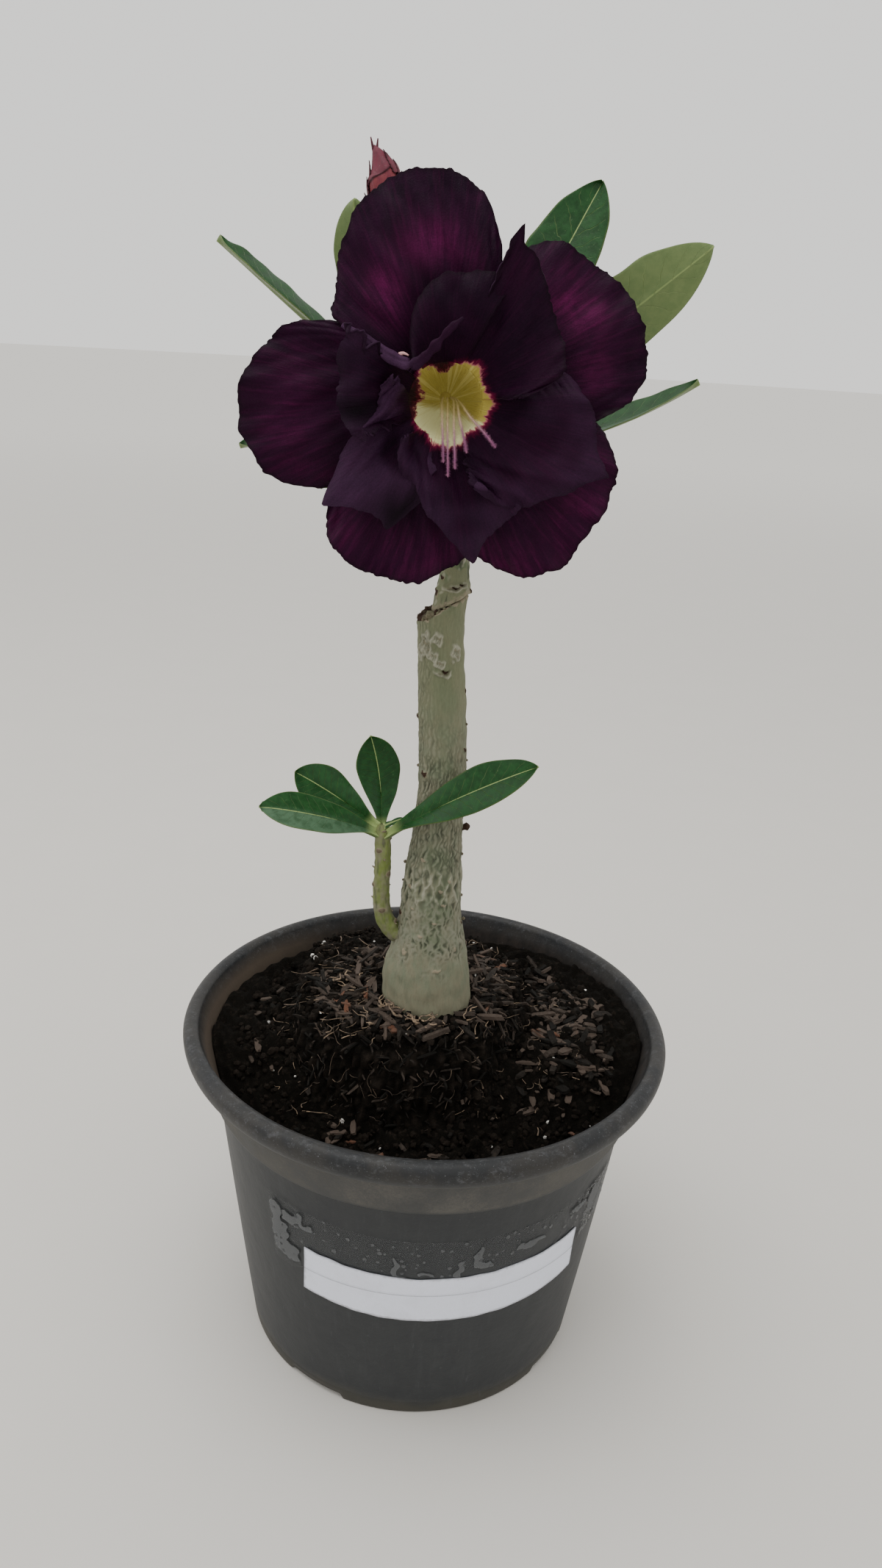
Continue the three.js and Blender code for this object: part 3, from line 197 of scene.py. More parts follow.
INNER_LOBES = [
    {"bearings": (131, 62), "reach": (11.5, 17, 22, 25.2, 26.8, 28, 28.5), "rise": 9, "end": 5, "tilt": 1, "cup": 1,
     "wave": 0.8, "waves": 2.4, "cusps": (), "glow": ()},
    {"bearings": (69.4, 5), "reach": (33.6, 34.6, 31.4, 29, 28.4, 26.4, 18), "rise": 9, "end": 8, "tilt": 0, "cup": 2.5,
     "wave": 0.8, "waves": 2.0, "cusps": ((0.05, 2.0, 0.16), (0.025, 3.8, 0.045)),
     "glow": ((0.1, 0.8, 0.12, 0.2, 0.12),)},
    {"bearings": (14, -67), "reach": (29, 33, 35.8, 36, 31.5, 28, 20), "rise": 8, "end": 5, "tilt": 2.5, "cup": 0,
     "wave": 0.9, "waves": 2.4, "cusps": ((0.43, 4.2),), "glow": ((0.5, 0.7, 0.3, 0.2, 0.1),), "slate": 0.3,
     "ragged": 1.4},
    {"bearings": (-50, -135), "reach": (29, 31, 32.5, 26.5, 19.5, 17.8, 12.5), "rise": 9, "end": 6, "tilt": 3, "cup": 1,
     "wave": 0.9, "waves": 2.0, "cusps": ((0.31, 3.8),), "glow": (), "slate": 0.4, "ragged": 1.0},
    {"bearings": (264, 160), "reach": (20.5, 28, 31, 27.5, 16, 14.5, 12.5), "rise": 9, "end": 6.5, "tilt": 2.5,
     "cup": 1, "wave": 1.0, "waves": 2.6, "cusps": ((0.15, 4), (0.4, 6)), "glow": (), "slate": 0.55, "ragged": 1.5,
     "shade": ((0.14, 0.86, 0.1, 0.24, 1.0),), "slate_from": (0.05, 0.5), "root": (8.3, 0.5)},
    {"bearings": (208, 147), "reach": (19.5, 22.5, 23.6, 23.6, 24, 25, 24.5), "rise": 10, "end": 8, "tilt": 2, "cup": 5,
     "wave": 0.8, "waves": 1.8, "cusps": ((0.98, 2),), "glow": (), "slate": 0.3, "ragged": 1.5,
     "shade": ((0.3, 0.75, 0.16, 0.35, 1.0),), "root": (8.3, 0.3)},
]
# Rolled margin of the sixth lobe: right, up, out and half width, from its tip down to the throat and up again.
RIM = ((-22.9, 14.3, 8.6, 0.5), (-18.6, 12.0, 9.4, 1.15), (-14.6, 9.7, 9.8, 1.35), (-10.6, 7.7, 9.9, 1.4),
       (-7.2, 7.0, 10.2, 1.4), (-4.4, 8.9, 10.8, 1.45), (-1.6, 12.1, 11.6, 1.35), (1.0, 15.0, 12.2, 1.05),
       (3.2, 16.9, 12.2, 0.35))
# A pale pink lump where the rolled margin leaves the first lobe: right, up and out.
LUMP = ((-10.2, 8.9, 9.4), (-9.3, 9.2, 9.8), (-8.2, 8.8, 9.8))
# Reach of the throat's yellow from its centre, every 15 degrees from the right.
YELLOW_REACH = (10.7, 9.2, 8.8, 10.2, 9.0, 8.1, 5.6, 5.6, 7.5, 8.1, 6.2, 5.2, 4.7, 6.4, 6.9, 8.0, 7.3, 9.6, 9.5,
                10.3, 9.1, 8.8, 9.7, 10.2)
LOBE = {"thick": 0.5, "cusp_width": 0.09, "root_spread": 33.0, "rows": 60, "columns": 110}
# Walls of the throat's lining and of the tube, the gap between walls, and the width that one radian of a lobe gets in
# the pattern of its rays.
LINING = 0.7
TUBE_WALL = 0.8
GAP = 0.3
ACROSS = 30

# Tails of the anthers: right, up and out of the tip, and how far right each sets out.
TAILS = (
    (0.5, -13.4, 5.4, -0.7), (1.7, -16.4, 6.6, 0.6), (3.2, -14.6, 6.4, 2.0), (5.6, -11.0, 5.6, 2.7),
    (12.0, -9.4, 6.8, 3.4),
)
TAIL_HAIRS = {"count": 1300, "radius": 0.035}
# The cone of anthers: right, up and out of its midline, and its radius.
TAIL_CORE = ((0, 0.6, -22.4, 0.8), (0, 0.9, -16, 1.1), (0, 0.6, -12, 2.0), (0, 0, -8.5, 0.8))

BUD = [
    (-5, 3.4, 287.4, 1.4), (-9, 3.6, 298, 1.7), (-14.4, 1.5, 314, 2.6), (-18.4, -1.6, 327, 4.3),
    (-21.2, -4.2, 337.5, 4.1), (-21.8, -4.7, 341.6, 3.2), (-22.9, -5, 344.4, 1.7), (-23.8, -5.2, 346.3, 0.7),
    (-24.2, -5.2, 347.2, 0.1),
]
# Scales of the bud: level of the tip, bearing from the front, half width, length and how far the tip stands off.
BUD_SCALES = [
    (345.9, 84, 1.5, 5, 0.5), (345.2, 62, 1.3, 4.5, 0.7), (343.6, 88, 1.7, 5, 0.6), (344.6, -88, 1.6, 5, 0.7),
    (341.6, -84, 1.5, 5, 0.8), (338.4, -80, 1.6, 5, 0.9), (334.5, -86, 1.7, 5, 0.7), (340.8, 96, 1.8, 6, 0.6),
    (344.0, 170, 2.4, 6, 0.5), (340.0, 140, 2.6, 7, 0.6), (339.0, -140, 2.6, 7, 0.6), (335.0, 180, 2.8, 7, 0.6),
    (333.0, 75, 2.2, 7, 0.6),
]
BUD_SPIKES = [((-23.9, -5.1, 344.6), (-24.6, -5.2, 346.9), (-25.1, -5.3, 348.8)),
              ((-23.3, -5.1, 344.4), (-23.5, -5.2, 346.6), (-23.4, -5.2, 348.6))]
# Fold across the bud: its level at the bud's middle and its slope.
BUD_FOLD = {"x": -21.6, "level": 341.4, "slope": 0.52}

# The stage: light of the surroundings, radius of the floor in metres, and the lights with their place, target, size,
# power and colour.
ROOM = {"colour": (1.0, 0.99, 0.96, 1), "strength": 1.15}
FLOOR_RADIUS = 12.0
LIGHTS = (
    ("overhead softbox", (-0.25, -0.15, 1.35), (0, 0, 0.2), 1.0, 10, (1, 0.99, 0.96)),
    ("front fill", (0.5, -1.3, 0.75), (0, 0, 0.15), 0.9, 1.5, (0.97, 0.98, 1)),
    ("left edge", (-1.1, 0.1, 0.6), (0, 0, 0.2), 0.6, 1.5, (0.97, 0.98, 1)),
)

# The photograph's height and focal length in pixels, the sensor's height, and the camera in millimetres and degrees.
PHOTO = {"height": 2134, "focal_px": 1615.4}
SENSOR = 36
VIEWPOINT = {"place": (0.0, -322.2, 306.3), "pitch": 20.77, "yaw": 0.08, "roll": 3.34}


# ---------------------------------------------------------------- colours and settings

def tint(red, green, blue):
    """A display colour of 0 to 255 per channel, as the linear values that shaders take."""
    return tuple((c / 255) ** 2.2 for c in (red, green, blue))


def colour(name, description, value):
    return bpy.props.FloatVectorProperty(
        name=name, description=description, default=value, size=3, min=0, max=1, subtype="COLOR")


def length(name, description, millimetres):
    return bpy.props.FloatProperty(
        name=name, description=description, default=millimetres * MM, min=0, unit="LENGTH", subtype="DISTANCE")


class PotSettings(bpy.types.PropertyGroup):
    plastic: colour("Plastic", "Charcoal plastic of the pot", tint(43, 45, 47))
    dust: colour("Dust", "Dust on the collar", tint(86, 84, 80))
    scuff: colour("Scuffs", "Scuffs of the lip and the body", tint(78, 79, 82))
    paper: colour("Paper", "Bare paper of the label", tint(222, 226, 240))
    film: colour("Film", "Torn, dusty patches of the clear tape", tint(92, 94, 96))
    unevenness: length("Unevenness", "How far the thin wall strays from round", 0.35)


class SoilSettings(bpy.types.PropertyGroup):
    earth: colour("Earth", "Dark crumbs of the mix", tint(23, 21, 18))
    bark: colour("Bark", "Slivers of bark", tint(76, 66, 59))
    fibre: colour("Fibre", "Pale dry fibres", tint(150, 128, 104))
    stone: colour("Stone", "White grains of perlite", tint(222, 220, 214))
    crumb: length("Crumb", "Height of the crumbs of the surface", 0.8)


class StemSettings(bpy.types.PropertyGroup):
    bark: colour("Bark", "Grey-green skin between the furrows", tint(108, 113, 94))
    ridge: colour("Ridges", "Paler corky ridges of the net", tint(158, 156, 140))
    furrow: colour("Furrows", "Dark furrows of the bark", tint(52, 56, 45))
    tan: colour("Scars", "Beige cork of scars and of the graft's edge", tint(138, 127, 108))
    young: colour("Young bark", "Skin of the side shoot", tint(104, 117, 60))
    relief: length("Relief", "Depth of the furrows of the bark", 0.45)


class LeafSettings(bpy.types.PropertyGroup):
    blade: colour("Blade", "Upper face of the leaves", tint(18, 56, 22))
    midrib: colour("Midrib", "Pale rib and veins", tint(150, 168, 106))
    under: colour("Underside", "Lower face of the leaves", tint(102, 118, 74))


class FlowerSettings(bpy.types.PropertyGroup):
    velvet: colour("Velvet", "Near-black purple of the lobes", tint(42, 12, 38))
    magenta: colour("Magenta", "Lit patches of the outer lobes", tint(104, 25, 79))
    # Slate is the lobes' backs' own colour, and painted velvet sheen on the margins and folds of the inner lobes and on
    # the rolled margin.
    slate: colour("Slate", "Grey-violet backs of the rolled margins", tint(69, 45, 70))
    # The throat is painted in light and shade: yellow is its olive upper part in shade, and cream is its lit lower
    # part.
    yellow: colour("Yellow", "Upper part of the throat", tint(142, 128, 62))
    lit_cream: colour("Cream", "Lower part of the throat", tint(192, 190, 142))
    pink: colour("Pink", "Tails of the anthers", tint(132, 76, 116))
    bud: colour("Bud", "Burgundy of the closed bud", tint(104, 46, 60))
    frill: length("Frill", "Depth of the crimps of the margins", 0.45)


class StageSettings(bpy.types.PropertyGroup):
    floor: colour("Floor", "Pale floor", tint(206, 203, 198))
    lens: bpy.props.FloatProperty(
        name="Lens", description="Focal length of the photograph's camera on a 36 mm frame",
        default=SENSOR * PHOTO["focal_px"] / PHOTO["height"], min=1, unit="CAMERA")


def settings(group):
    return getattr(bpy.context.scene, "desert_rose_" + group)


# ---------------------------------------------------------------- arithmetic on whole arrays

def ease(x, low, high):
    """Rises smoothly from 0 at low to 1 at high: 3t^2 - 2t^3."""
    t = np.clip((np.asarray(x, float) - low) / (high - low), 0, 1)
    return t * t * (3 - 2 * t)


def cubic(p0, p1, m0, m1, f):
    """The cubic with end values p0 and p1 and end slopes m0 and m1, at f from 0 to 1."""
    s = f * f * (3 - 2 * f)
    return p0 + (p1 - p0) * s + m0 * f * (1 - f) ** 2 - m1 * f * f * (1 - f)


def through(stations, t):
    """The smooth curve through evenly spaced values or rows of values, at parameters t from 0 to 1."""
    rows = np.asarray(stations, float)
    if rows.ndim == 1:
        return through(rows[:, None], t)[..., 0]
    slopes = np.gradient(rows, axis=0)
    s = np.clip(np.asarray(t, float), 0, 1) * (len(rows) - 1)
    i = np.minimum(s.astype(int), len(rows) - 2)
    return cubic(rows[i], rows[i + 1], slopes[i], slopes[i + 1], (s - i)[..., None])


def by_level(stations, z):
    """Centre x, centre y and radius at levels z: the smooth curve through stations of level and values."""
    rows = np.asarray(stations, float)
    levels, values = rows[:, 0], rows[:, 1:]
    slopes = np.gradient(values, levels, axis=0)
    i = np.clip(np.searchsorted(levels, z) - 1, 0, len(levels) - 2)
    step = (levels[i + 1] - levels[i])[..., None]
    f = np.clip((z - levels[i])[..., None] / step, 0, 1)
    found = cubic(values[i], values[i + 1], slopes[i] * step, slopes[i + 1] * step, f)
    return found[..., 0], found[..., 1], found[..., 2]


def ripples(points, size, seed, waves=18):
    """Even random unevenness of about -2 to 2: the sum of plane waves of about one size in random directions."""
    draw = np.random.default_rng(seed)
    ways = draw.normal(size=(waves, 3))
    ways *= (draw.uniform(0.6, 1.5, (waves, 1)) * TAU / size) / np.linalg.norm(ways, axis=1, keepdims=True)
    phases = draw.uniform(0, TAU, waves)
    total = np.zeros(points.shape[:-1])
    for way, phase in zip(ways, phases):
        total += np.cos(points @ way + phase)
    return total * math.sqrt(2 / waves)


def unit(v):
    return v / np.maximum(np.linalg.norm(v, axis=-1, keepdims=True), 1e-9)


def vec(*p):
    return np.array(p, float)


def stack(*parts):
    return np.stack(np.broadcast_arrays(*parts), -1)


def around(count):
    """Angles of evenly spaced points of a circle."""
    return np.linspace(0, TAU, count, endpoint=False)


def polar(r, angle, z, x=0, y=0):
    """Points at a radius and an angle about an upright axis, at levels z."""
    return stack(x + r * np.cos(angle), y + r * np.sin(angle), z)


def grid_of(rows, columns):
    """Two arrays of parameters from 0 to 1: the first along the rows, the second along the columns."""
    return np.meshgrid(np.linspace(0, 1, rows), np.linspace(0, 1, columns), indexing="ij")


def polyline(corners, spacing):
    """Points along straight runs between corners, no further apart than the spacing, with every corner kept."""
    corners = np.asarray(corners, float)
    runs = [corners[:1]]
    for a, b in zip(corners[:-1], corners[1:]):
        steps = max(1, math.ceil(np.linalg.norm(b - a) / spacing))
        runs.append(a + (b - a) * np.linspace(0, 1, steps + 1)[1:, None])
    return np.concatenate(runs)


# ---------------------------------------------------------------- meshes

def add_object(name, data):
    """A new object in the scene with this data."""
    made = bpy.data.objects.new(name, data)
    bpy.context.scene.collection.objects.link(made)
    return made


class Shape:
    """Points, four-sided and three-sided faces, and named values of the points, gathered from grids."""

    def __init__(self):
        self.points = []
        self.quads = []
        self.tris = []
        self.values = []
        self.count = 0

    def add(self, points, quads=(), tris=(), **values):
        flat = points.reshape(-1, 3)
        self.points.append(flat)
        self.quads.append(np.asarray(quads, int).reshape(-1, 4) + self.count)
        self.tris.append(np.asarray(tris, int).reshape(-1, 3) + self.count)
        self.values.append({k: np.broadcast_to(v, len(flat)) if np.ndim(v) == 0 else np.asarray(v).ravel()
                            for k, v in values.items()})
        self.count += len(flat)
        return self

    def tube(self, rings, **values):
        """A closed body through rings of points: rows run along it and columns round it, with fanned ends."""
        rows, columns = rings.shape[:2]
        ends = np.stack([rings[0].mean(0), rings[-1].mean(0)])
        points = np.concatenate([rings.reshape(-1, 3), ends])
        j, i = np.meshgrid(np.arange(rows - 1), np.arange(columns), indexing="ij")
        a, b = j * columns + i, j * columns + (i + 1) % columns
        quads = np.stack([a, b, b + columns, a + columns], -1)
        k = np.arange(columns)
        n = (k + 1) % columns
        top = (rows - 1) * columns
        low = np.stack([np.full(columns, rows * columns), n, k], -1)
        high = np.stack([np.full(columns, rows * columns + 1), top + k, top + n], -1)
        full = {}
        for name, v in values.items():
            v = np.broadcast_to(v, (rows, columns))
            full[name] = np.concatenate([v.ravel(), [v[0].mean(), v[-1].mean()]])
        return self.add(points, quads, np.concatenate([low, high]), **full)

    def hoop(self, rings, **values):
        """A closed body through rings whose last row meets the first, such as the wall of an open tube."""
        rows, columns = rings.shape[0] - 1, rings.shape[1]
        j, i = np.meshgrid(np.arange(rows), np.arange(columns), indexing="ij")
        a, b = j * columns + i, j * columns + (i + 1) % columns
        c, d = (j + 1) % rows * columns + (i + 1) % columns, (j + 1) % rows * columns + i
        full = {k: np.broadcast_to(v, rings.shape[:2])[:-1] for k, v in values.items()}
        return self.add(rings[:-1], np.stack([a, b, c, d], -1), **full)

    def sheet(self, middle, thickness, **values):
        """A closed sheet about a grid of points: half its thickness to each side along the grid's normals."""
        rows, columns = middle.shape[:2]
        normal = unit(np.cross(np.gradient(middle, axis=1), np.gradient(middle, axis=0)))
        half = np.broadcast_to(thickness, (rows, columns))[..., None] / 2
        points = np.stack([middle + normal * half, middle - normal * half])
        j, i = np.meshgrid(np.arange(rows - 1), np.arange(columns - 1), indexing="ij")
        a = j * columns + i
        under = rows * columns
        front = np.stack([a, a + 1, a + 1 + columns, a + columns], -1).reshape(-1, 4)
        back = front[:, ::-1] + under
        rim = np.concatenate([
            np.arange(columns - 1), np.arange(rows - 1) * columns + columns - 1,
            rows * columns - 1 - np.arange(columns - 1), (rows - 1 - np.arange(rows - 1)) * columns])
        after = np.roll(rim, -1)
        side = np.stack([under + rim, under + after, after, rim], -1)
        both = {k: np.stack([np.broadcast_to(v, (rows, columns))] * 2) for k, v in values.items()}
        both["under"] = np.stack([np.zeros((rows, columns)), np.ones((rows, columns))])
        return self.add(points, np.concatenate([front, back, side]), **both)

    def scatter(self, points, faces, centres, sizes, seed, squash=(1, 1, 1), upright=False, **values):
        """One small body repeated at many centres, each turned and stretched at random."""
        draw = np.random.default_rng(seed)
        count = len(centres)
        turn = np.linalg.qr(draw.normal(size=(count, 3, 3)))[0]
        turn *= np.sign(np.linalg.det(turn))[:, None, None]
        if upright:
            angle = draw.uniform(0, TAU, count)
            lean = draw.normal(scale=0.22, size=(count, 2))
            turn = np.zeros((count, 3, 3))
            turn[:, 0] = unit(stack(np.cos(angle), np.sin(angle), lean[:, 0]))
            turn[:, 2] = unit(np.cross(turn[:, 0], stack(-np.sin(angle), np.cos(angle), lean[:, 1])))
            turn[:, 1] = np.cross(turn[:, 2], turn[:, 0])
        stretch = np.asarray(squash) * draw.uniform(0.7, 1.3, (count, 1, 3))
        local = points[None] * stretch + draw.normal(scale=0.1, size=(count, *points.shape)) * np.asarray(squash)
        placed = np.einsum("nkc,ncd->nkd", local * np.asarray(sizes)[:, None, None], turn) + centres[:, None]
        index = faces[None] + (np.arange(count) * len(points))[:, None, None]
        full = {k: np.repeat(np.broadcast_to(v, count), len(points)) for k, v in values.items()}
        full.setdefault("tone", np.repeat(draw.uniform(0, 1, count), len(points)))
        kind = "quads" if faces.shape[1] == 4 else "tris"
        return self.add(placed, **{kind: index}, **full)

    def object(self, name, slot, material, nodes=(), smooth=True):
        """The finished piece: a mesh in metres at the origin, riding on the frame and standing for its nodes."""
        points = np.concatenate(self.points) * MM
        quads = np.concatenate(self.quads)
        tris = np.concatenate(self.tris)
        mesh = bpy.data.meshes.new(name)
        mesh.vertices.add(len(points))
        mesh.vertices.foreach_set("co", points.ravel().astype(np.float32))
        mesh.loops.add(quads.size + tris.size)
        mesh.loops.foreach_set("vertex_index", np.concatenate([quads.ravel(), tris.ravel()]).astype(np.int32))
        mesh.polygons.add(len(quads) + len(tris))
        starts = np.concatenate([np.arange(len(quads)) * 4, quads.size + np.arange(len(tris)) * 3])
        mesh.polygons.foreach_set("loop_start", starts.astype(np.int32))
        mesh.polygons.foreach_set("use_smooth", np.full(len(starts), smooth))
        for key in sorted({k for v in self.values for k in v}):
            data = np.concatenate([v.get(key, np.zeros(len(p))) for v, p in zip(self.values, self.points)])
            mesh.attributes.new(key, "FLOAT", "POINT").data.foreach_set("value", data.astype(np.float32))
        mesh.update(calc_edges=True)
        mesh.validate()
        mesh.materials.append(material)
        piece = add_object(name, mesh)
        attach(piece, "root")
        if nodes:
            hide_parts(*nodes)
        return piece


def pebble():
    """Twelve points and twenty faces of a rounded grain about 1 mm in radius."""
    g = (1 + math.sqrt(5)) / 2
    points = vec(-1, g, 0, 1, g, 0, -1, -g, 0, 1, -g, 0, 0, -1, g, 0, 1, g, 0, -1, -g, 0, 1, -g,
                 g, 0, -1, g, 0, 1, -g, 0, -1, -g, 0, 1).reshape(12, 3) / math.hypot(1, g)
    faces = np.array([0, 11, 5, 0, 5, 1, 0, 1, 7, 0, 7, 10, 0, 10, 11, 1, 5, 9, 5, 11, 4, 11, 10, 2, 10, 7, 6, 7, 1,
                      8, 3, 9, 4, 3, 4, 2, 3, 2, 6, 3, 6, 8, 3, 8, 9, 4, 9, 5, 2, 4, 11, 6, 2, 10, 8, 6, 7, 9, 8, 1])
    return points, faces.reshape(20, 3)


def slab():
    """Sixteen points and faces of a chip: an eight-sided plate with squared, broken ends, about 2 mm long."""
    rim = vec(1, -0.5, 0, 0.93, 0.75, 0, 0.3, 1, 0, -0.5, 0.9, 0, -1, 0.55, 0, -0.88, -0.7, 0, -0.2, -1, 0, 0.6, -0.85,
              0).reshape(8, 3)
    points = np.concatenate([rim + vec(0, 0, -1), rim * 0.92 + vec(0, 0, 1)])
    k = np.arange(8)
    n = (k + 1) % 8
    side = np.stack([k, n, n + 8, k + 8], -1)
    top = np.array([[8, 9, 10, 11], [8, 11, 12, 15], [12, 13, 14, 15]])
    low = np.array([[3, 2, 1, 0], [7, 4, 3, 0], [7, 6, 5, 4]])
    return points, np.concatenate([side, top, low])


def rings_about(path, radius, sides):
    """Rings round a path: each point of a row is the path's point plus radius times a turning unit vector."""
    way = unit(np.gradient(path, axis=0))
    east = unit(vec(1, 0, 0) - way * way[:, :1])
    north = np.cross(way, east)
    angle = around(sides)
    turn = east[:, None] * np.cos(angle)[:, None] + north[:, None] * np.sin(angle)[:, None]
    return path[:, None] + turn * np.asarray(radius, float).reshape(len(path), -1)[..., None]


def thread(shape, points, radius, steps, sides, **values):
    """A tapering thread along a smooth curve through a few points."""
    path = through(points, np.linspace(0, 1, steps))
    shape.tube(rings_about(path, radius * np.linspace(1, 0.3, steps), sides), **values)


def hairs(shape, roots, ways, lengths, radius, **values):
    """Many straight hairs at once, each a slender three-sided spike of four faces."""
    count = len(roots)
    east = unit(np.cross(ways, vec(0.31, 0.2, 0.93)))
    north = np.cross(unit(ways), east)
    angle = np.arange(3) * TAU / 3
    ring = roots[:, None] + radius * (east[:, None] * np.cos(angle)[:, None] + north[:, None] * np.sin(angle)[:, None])
    tips = roots + unit(ways) * np.asarray(lengths)[:, None]
    points = np.concatenate([ring, tips[:, None]], 1)
    faces = np.array([[0, 1, 3], [1, 2, 3], [2, 0, 3], [2, 1, 0]])[None] + (np.arange(count) * 4)[:, None, None]
    shape.add(points, tris=faces, **values)


# ---------------------------------------------------------------- materials

class Finish:
    """A node material under construction: each call adds a node and hands back its output."""

    def __init__(self, name):
        self.material = bpy.data.materials.new(name)
        self.material.use_nodes = True
        self.tree = self.material.node_tree
        self.tree.nodes.clear()
        self.object = self.node("TexCoord", {}, "Object")

    def node(self, kind, inputs, output=0, **options):
        made = self.tree.nodes.new("ShaderNode" + kind)
        for key, value in options.items():
            setattr(made, key, value)
        for key, value in inputs.items():
            socket = made.inputs[key]
            if isinstance(value, bpy.types.NodeSocket):
                self.tree.links.new(value, socket)
            elif value is not None:
                if socket.type == "RGBA":
                    value = (*tuple(value)[:3], 1)
                socket.default_value = value
        return made.outputs[output] if len(made.outputs) else made

    def place(self, scale=(1, 1, 1)):
        """Object coordinates in millimetres, stretched along the axes."""
        return self.node("Mapping", {"Vector": self.object, "Scale": tuple(1000 * s for s in scale)})

    def axis(self, index):
        return self.node("SeparateXYZ", {0: self.place()}, index)

    def value(self, name):
        return self.node("Attribute", {}, "Fac", attribute_name=name)

    def pair(self, x, y, z=0.0):
        return self.node("CombineXYZ", {0: x, 1: y, 2: z})

    def noise(self, vector, size, detail, rough=0.55):
        return self.node("TexNoise", {"Vector": vector, "Scale": 1 / size, "Detail": detail, "Roughness": rough}, "Fac")

    def cells(self, vector, size, feature="F1", output="Distance"):
        return self.node("TexVoronoi", {"Vector": vector, "Scale": 1 / size}, output, feature=feature)

    def calc(self, operation, a, b=0.0):
        return self.node("Math", {0: a, 1: b}, operation=operation)

    def plus(self, a, b):
        return self.calc("ADD", a, b)

    def minus(self, a, b):
        return self.calc("SUBTRACT", a, b)

    def times(self, a, b):
        return self.calc("MULTIPLY", a, b)

    def larger(self, a, b):
        return self.calc("MAXIMUM", a, b)

    def band(self, value, low, high, out_low=0.0, out_high=1.0):
        """Maps low..high smoothly to out_low..out_high, held outside."""
        return self.node("MapRange", {"Value": value, "From Min": low, "From Max": high, "To Min": out_low,
                                      "To Max": out_high}, interpolation_type="SMOOTHSTEP")

    def blend(self, factor, a, b):
        """Colour a where the factor is 0 and colour b where it is 1."""
        return self.node("Mix", {0: factor, 6: a, 7: b}, 2, data_type="RGBA")

    def over(self, base, *layers):
        """The base colour with colours laid over it in turn, each by its own factor."""
        for factor, laid in layers:
            base = self.blend(factor, base, laid)
        return base

    def bump(self, height, depth, normal=None):
        return self.node("Bump", {"Height": height, "Distance": depth * MM, "Strength": 1.0, "Normal": normal})

    def shade(self, base, roughness, normal=None, fixed=()):
        inputs = {"Base Color": base, "Roughness": roughness, "Normal": normal, **dict(fixed)}
        self.node("OutputMaterial", {"Surface": self.node("BsdfPrincipled", inputs)})
        return self.material


# ---------------------------------------------------------------- pot, label and tape

def body_radius(z):
    return POT["foot"] + (POT["shoulder"] - POT["foot"]) * z / POT["collar_foot"]


def inner_radius(z):
    """Radius of the pot's inside: the body less its wall, flaring through the collar to the lip."""
    below = body_radius(z) - POT["wall"]
    flare = (z - POT["collar_foot"]) / (POT["height"] - POT["collar_foot"])
    above = body_radius(POT["collar_foot"]) - POT["wall"] + POT["flare"] * flare
    return np.where(z < POT["collar_foot"], below, above)


def pot_finish(s):
    f = Finish("Scuffed charcoal plastic")
    z = f.axis(2)
    specks = f.noise(f.place(), 0.6, 3, 0.7)
    streaks = f.noise(f.place((1, 1, 0.06)), 2.2, 6, 0.75)
    clouds = f.noise(f.place(), 14, 5, 0.65)
    smears = f.noise(f.place((1, 1, 0.4)), 5, 6, 0.75)
    collar = f.times(f.band(z, 85.0, 87.0), f.band(z, 99.0, 102.5, 1, 0))
    inside = f.value("inner")
    cloudy = f.plus(f.times(clouds, 0.6), f.times(specks, 0.4))
    dusty = f.times(f.band(cloudy, 0.38, 0.62, 0.25, 0.9), collar)
    base = f.over(
        s.plastic,
        (f.band(smears, 0.35, 0.75, 0, 0.35), tint(56, 58, 58)),
        (f.band(streaks, 0.5, 0.78, 0, 0.16), s.scuff),
        (f.band(specks, 0.66, 0.72, 0, 0.4), s.dust),
        (dusty, s.dust))
    lip = f.band(z, 100.5, 103.0)
    worn = f.times(lip, f.band(f.noise(f.place((0.7, 1, 1)), 2.2, 6, 0.78), 0.5, 0.72, 0.0, 0.6))
    rolled = f.blend(f.band(clouds, 0.4, 0.6), tint(30, 31, 33), tint(44, 42, 40))
    base = f.over(base, (f.times(lip, 0.8), rolled), (worn, s.scuff))
    pale = f.times(lip, f.band(f.noise(f.place(), 0.5, 4, 0.8), 0.62, 0.68, 0, 0.5))
    base = f.blend(pale, base, tint(132, 134, 140))
    brown = f.over(
        tint(27, 24, 22),
        (f.band(smears, 0.35, 0.7), tint(46, 40, 36)),
        (f.band(f.plus(f.axis(0), f.times(clouds, 20)), -15, -50), tint(74, 65, 56)))
    base = f.blend(inside, base, brown)
    foot = f.band(f.plus(z, f.times(clouds, 9)), 12.5, 6.0)
    base = f.blend(f.times(foot, 0.45), base, tint(72, 68, 56))
    scratch = f.noise(f.place((1, 1, 0.1)), 0.8, 2, 0.5)
    base = f.blend(f.band(scratch, 0.71, 0.75, 0, 0.3), base, s.scuff)
    normal = f.bump(specks, 0.04, f.bump(f.noise(f.place(), 9, 3), 0.3))
    rough = f.band(f.larger(dusty, inside), 0, 0.9, 0.5, 0.85)
    return f.shade(base, rough, normal, {"Specular IOR Level": 0.3})


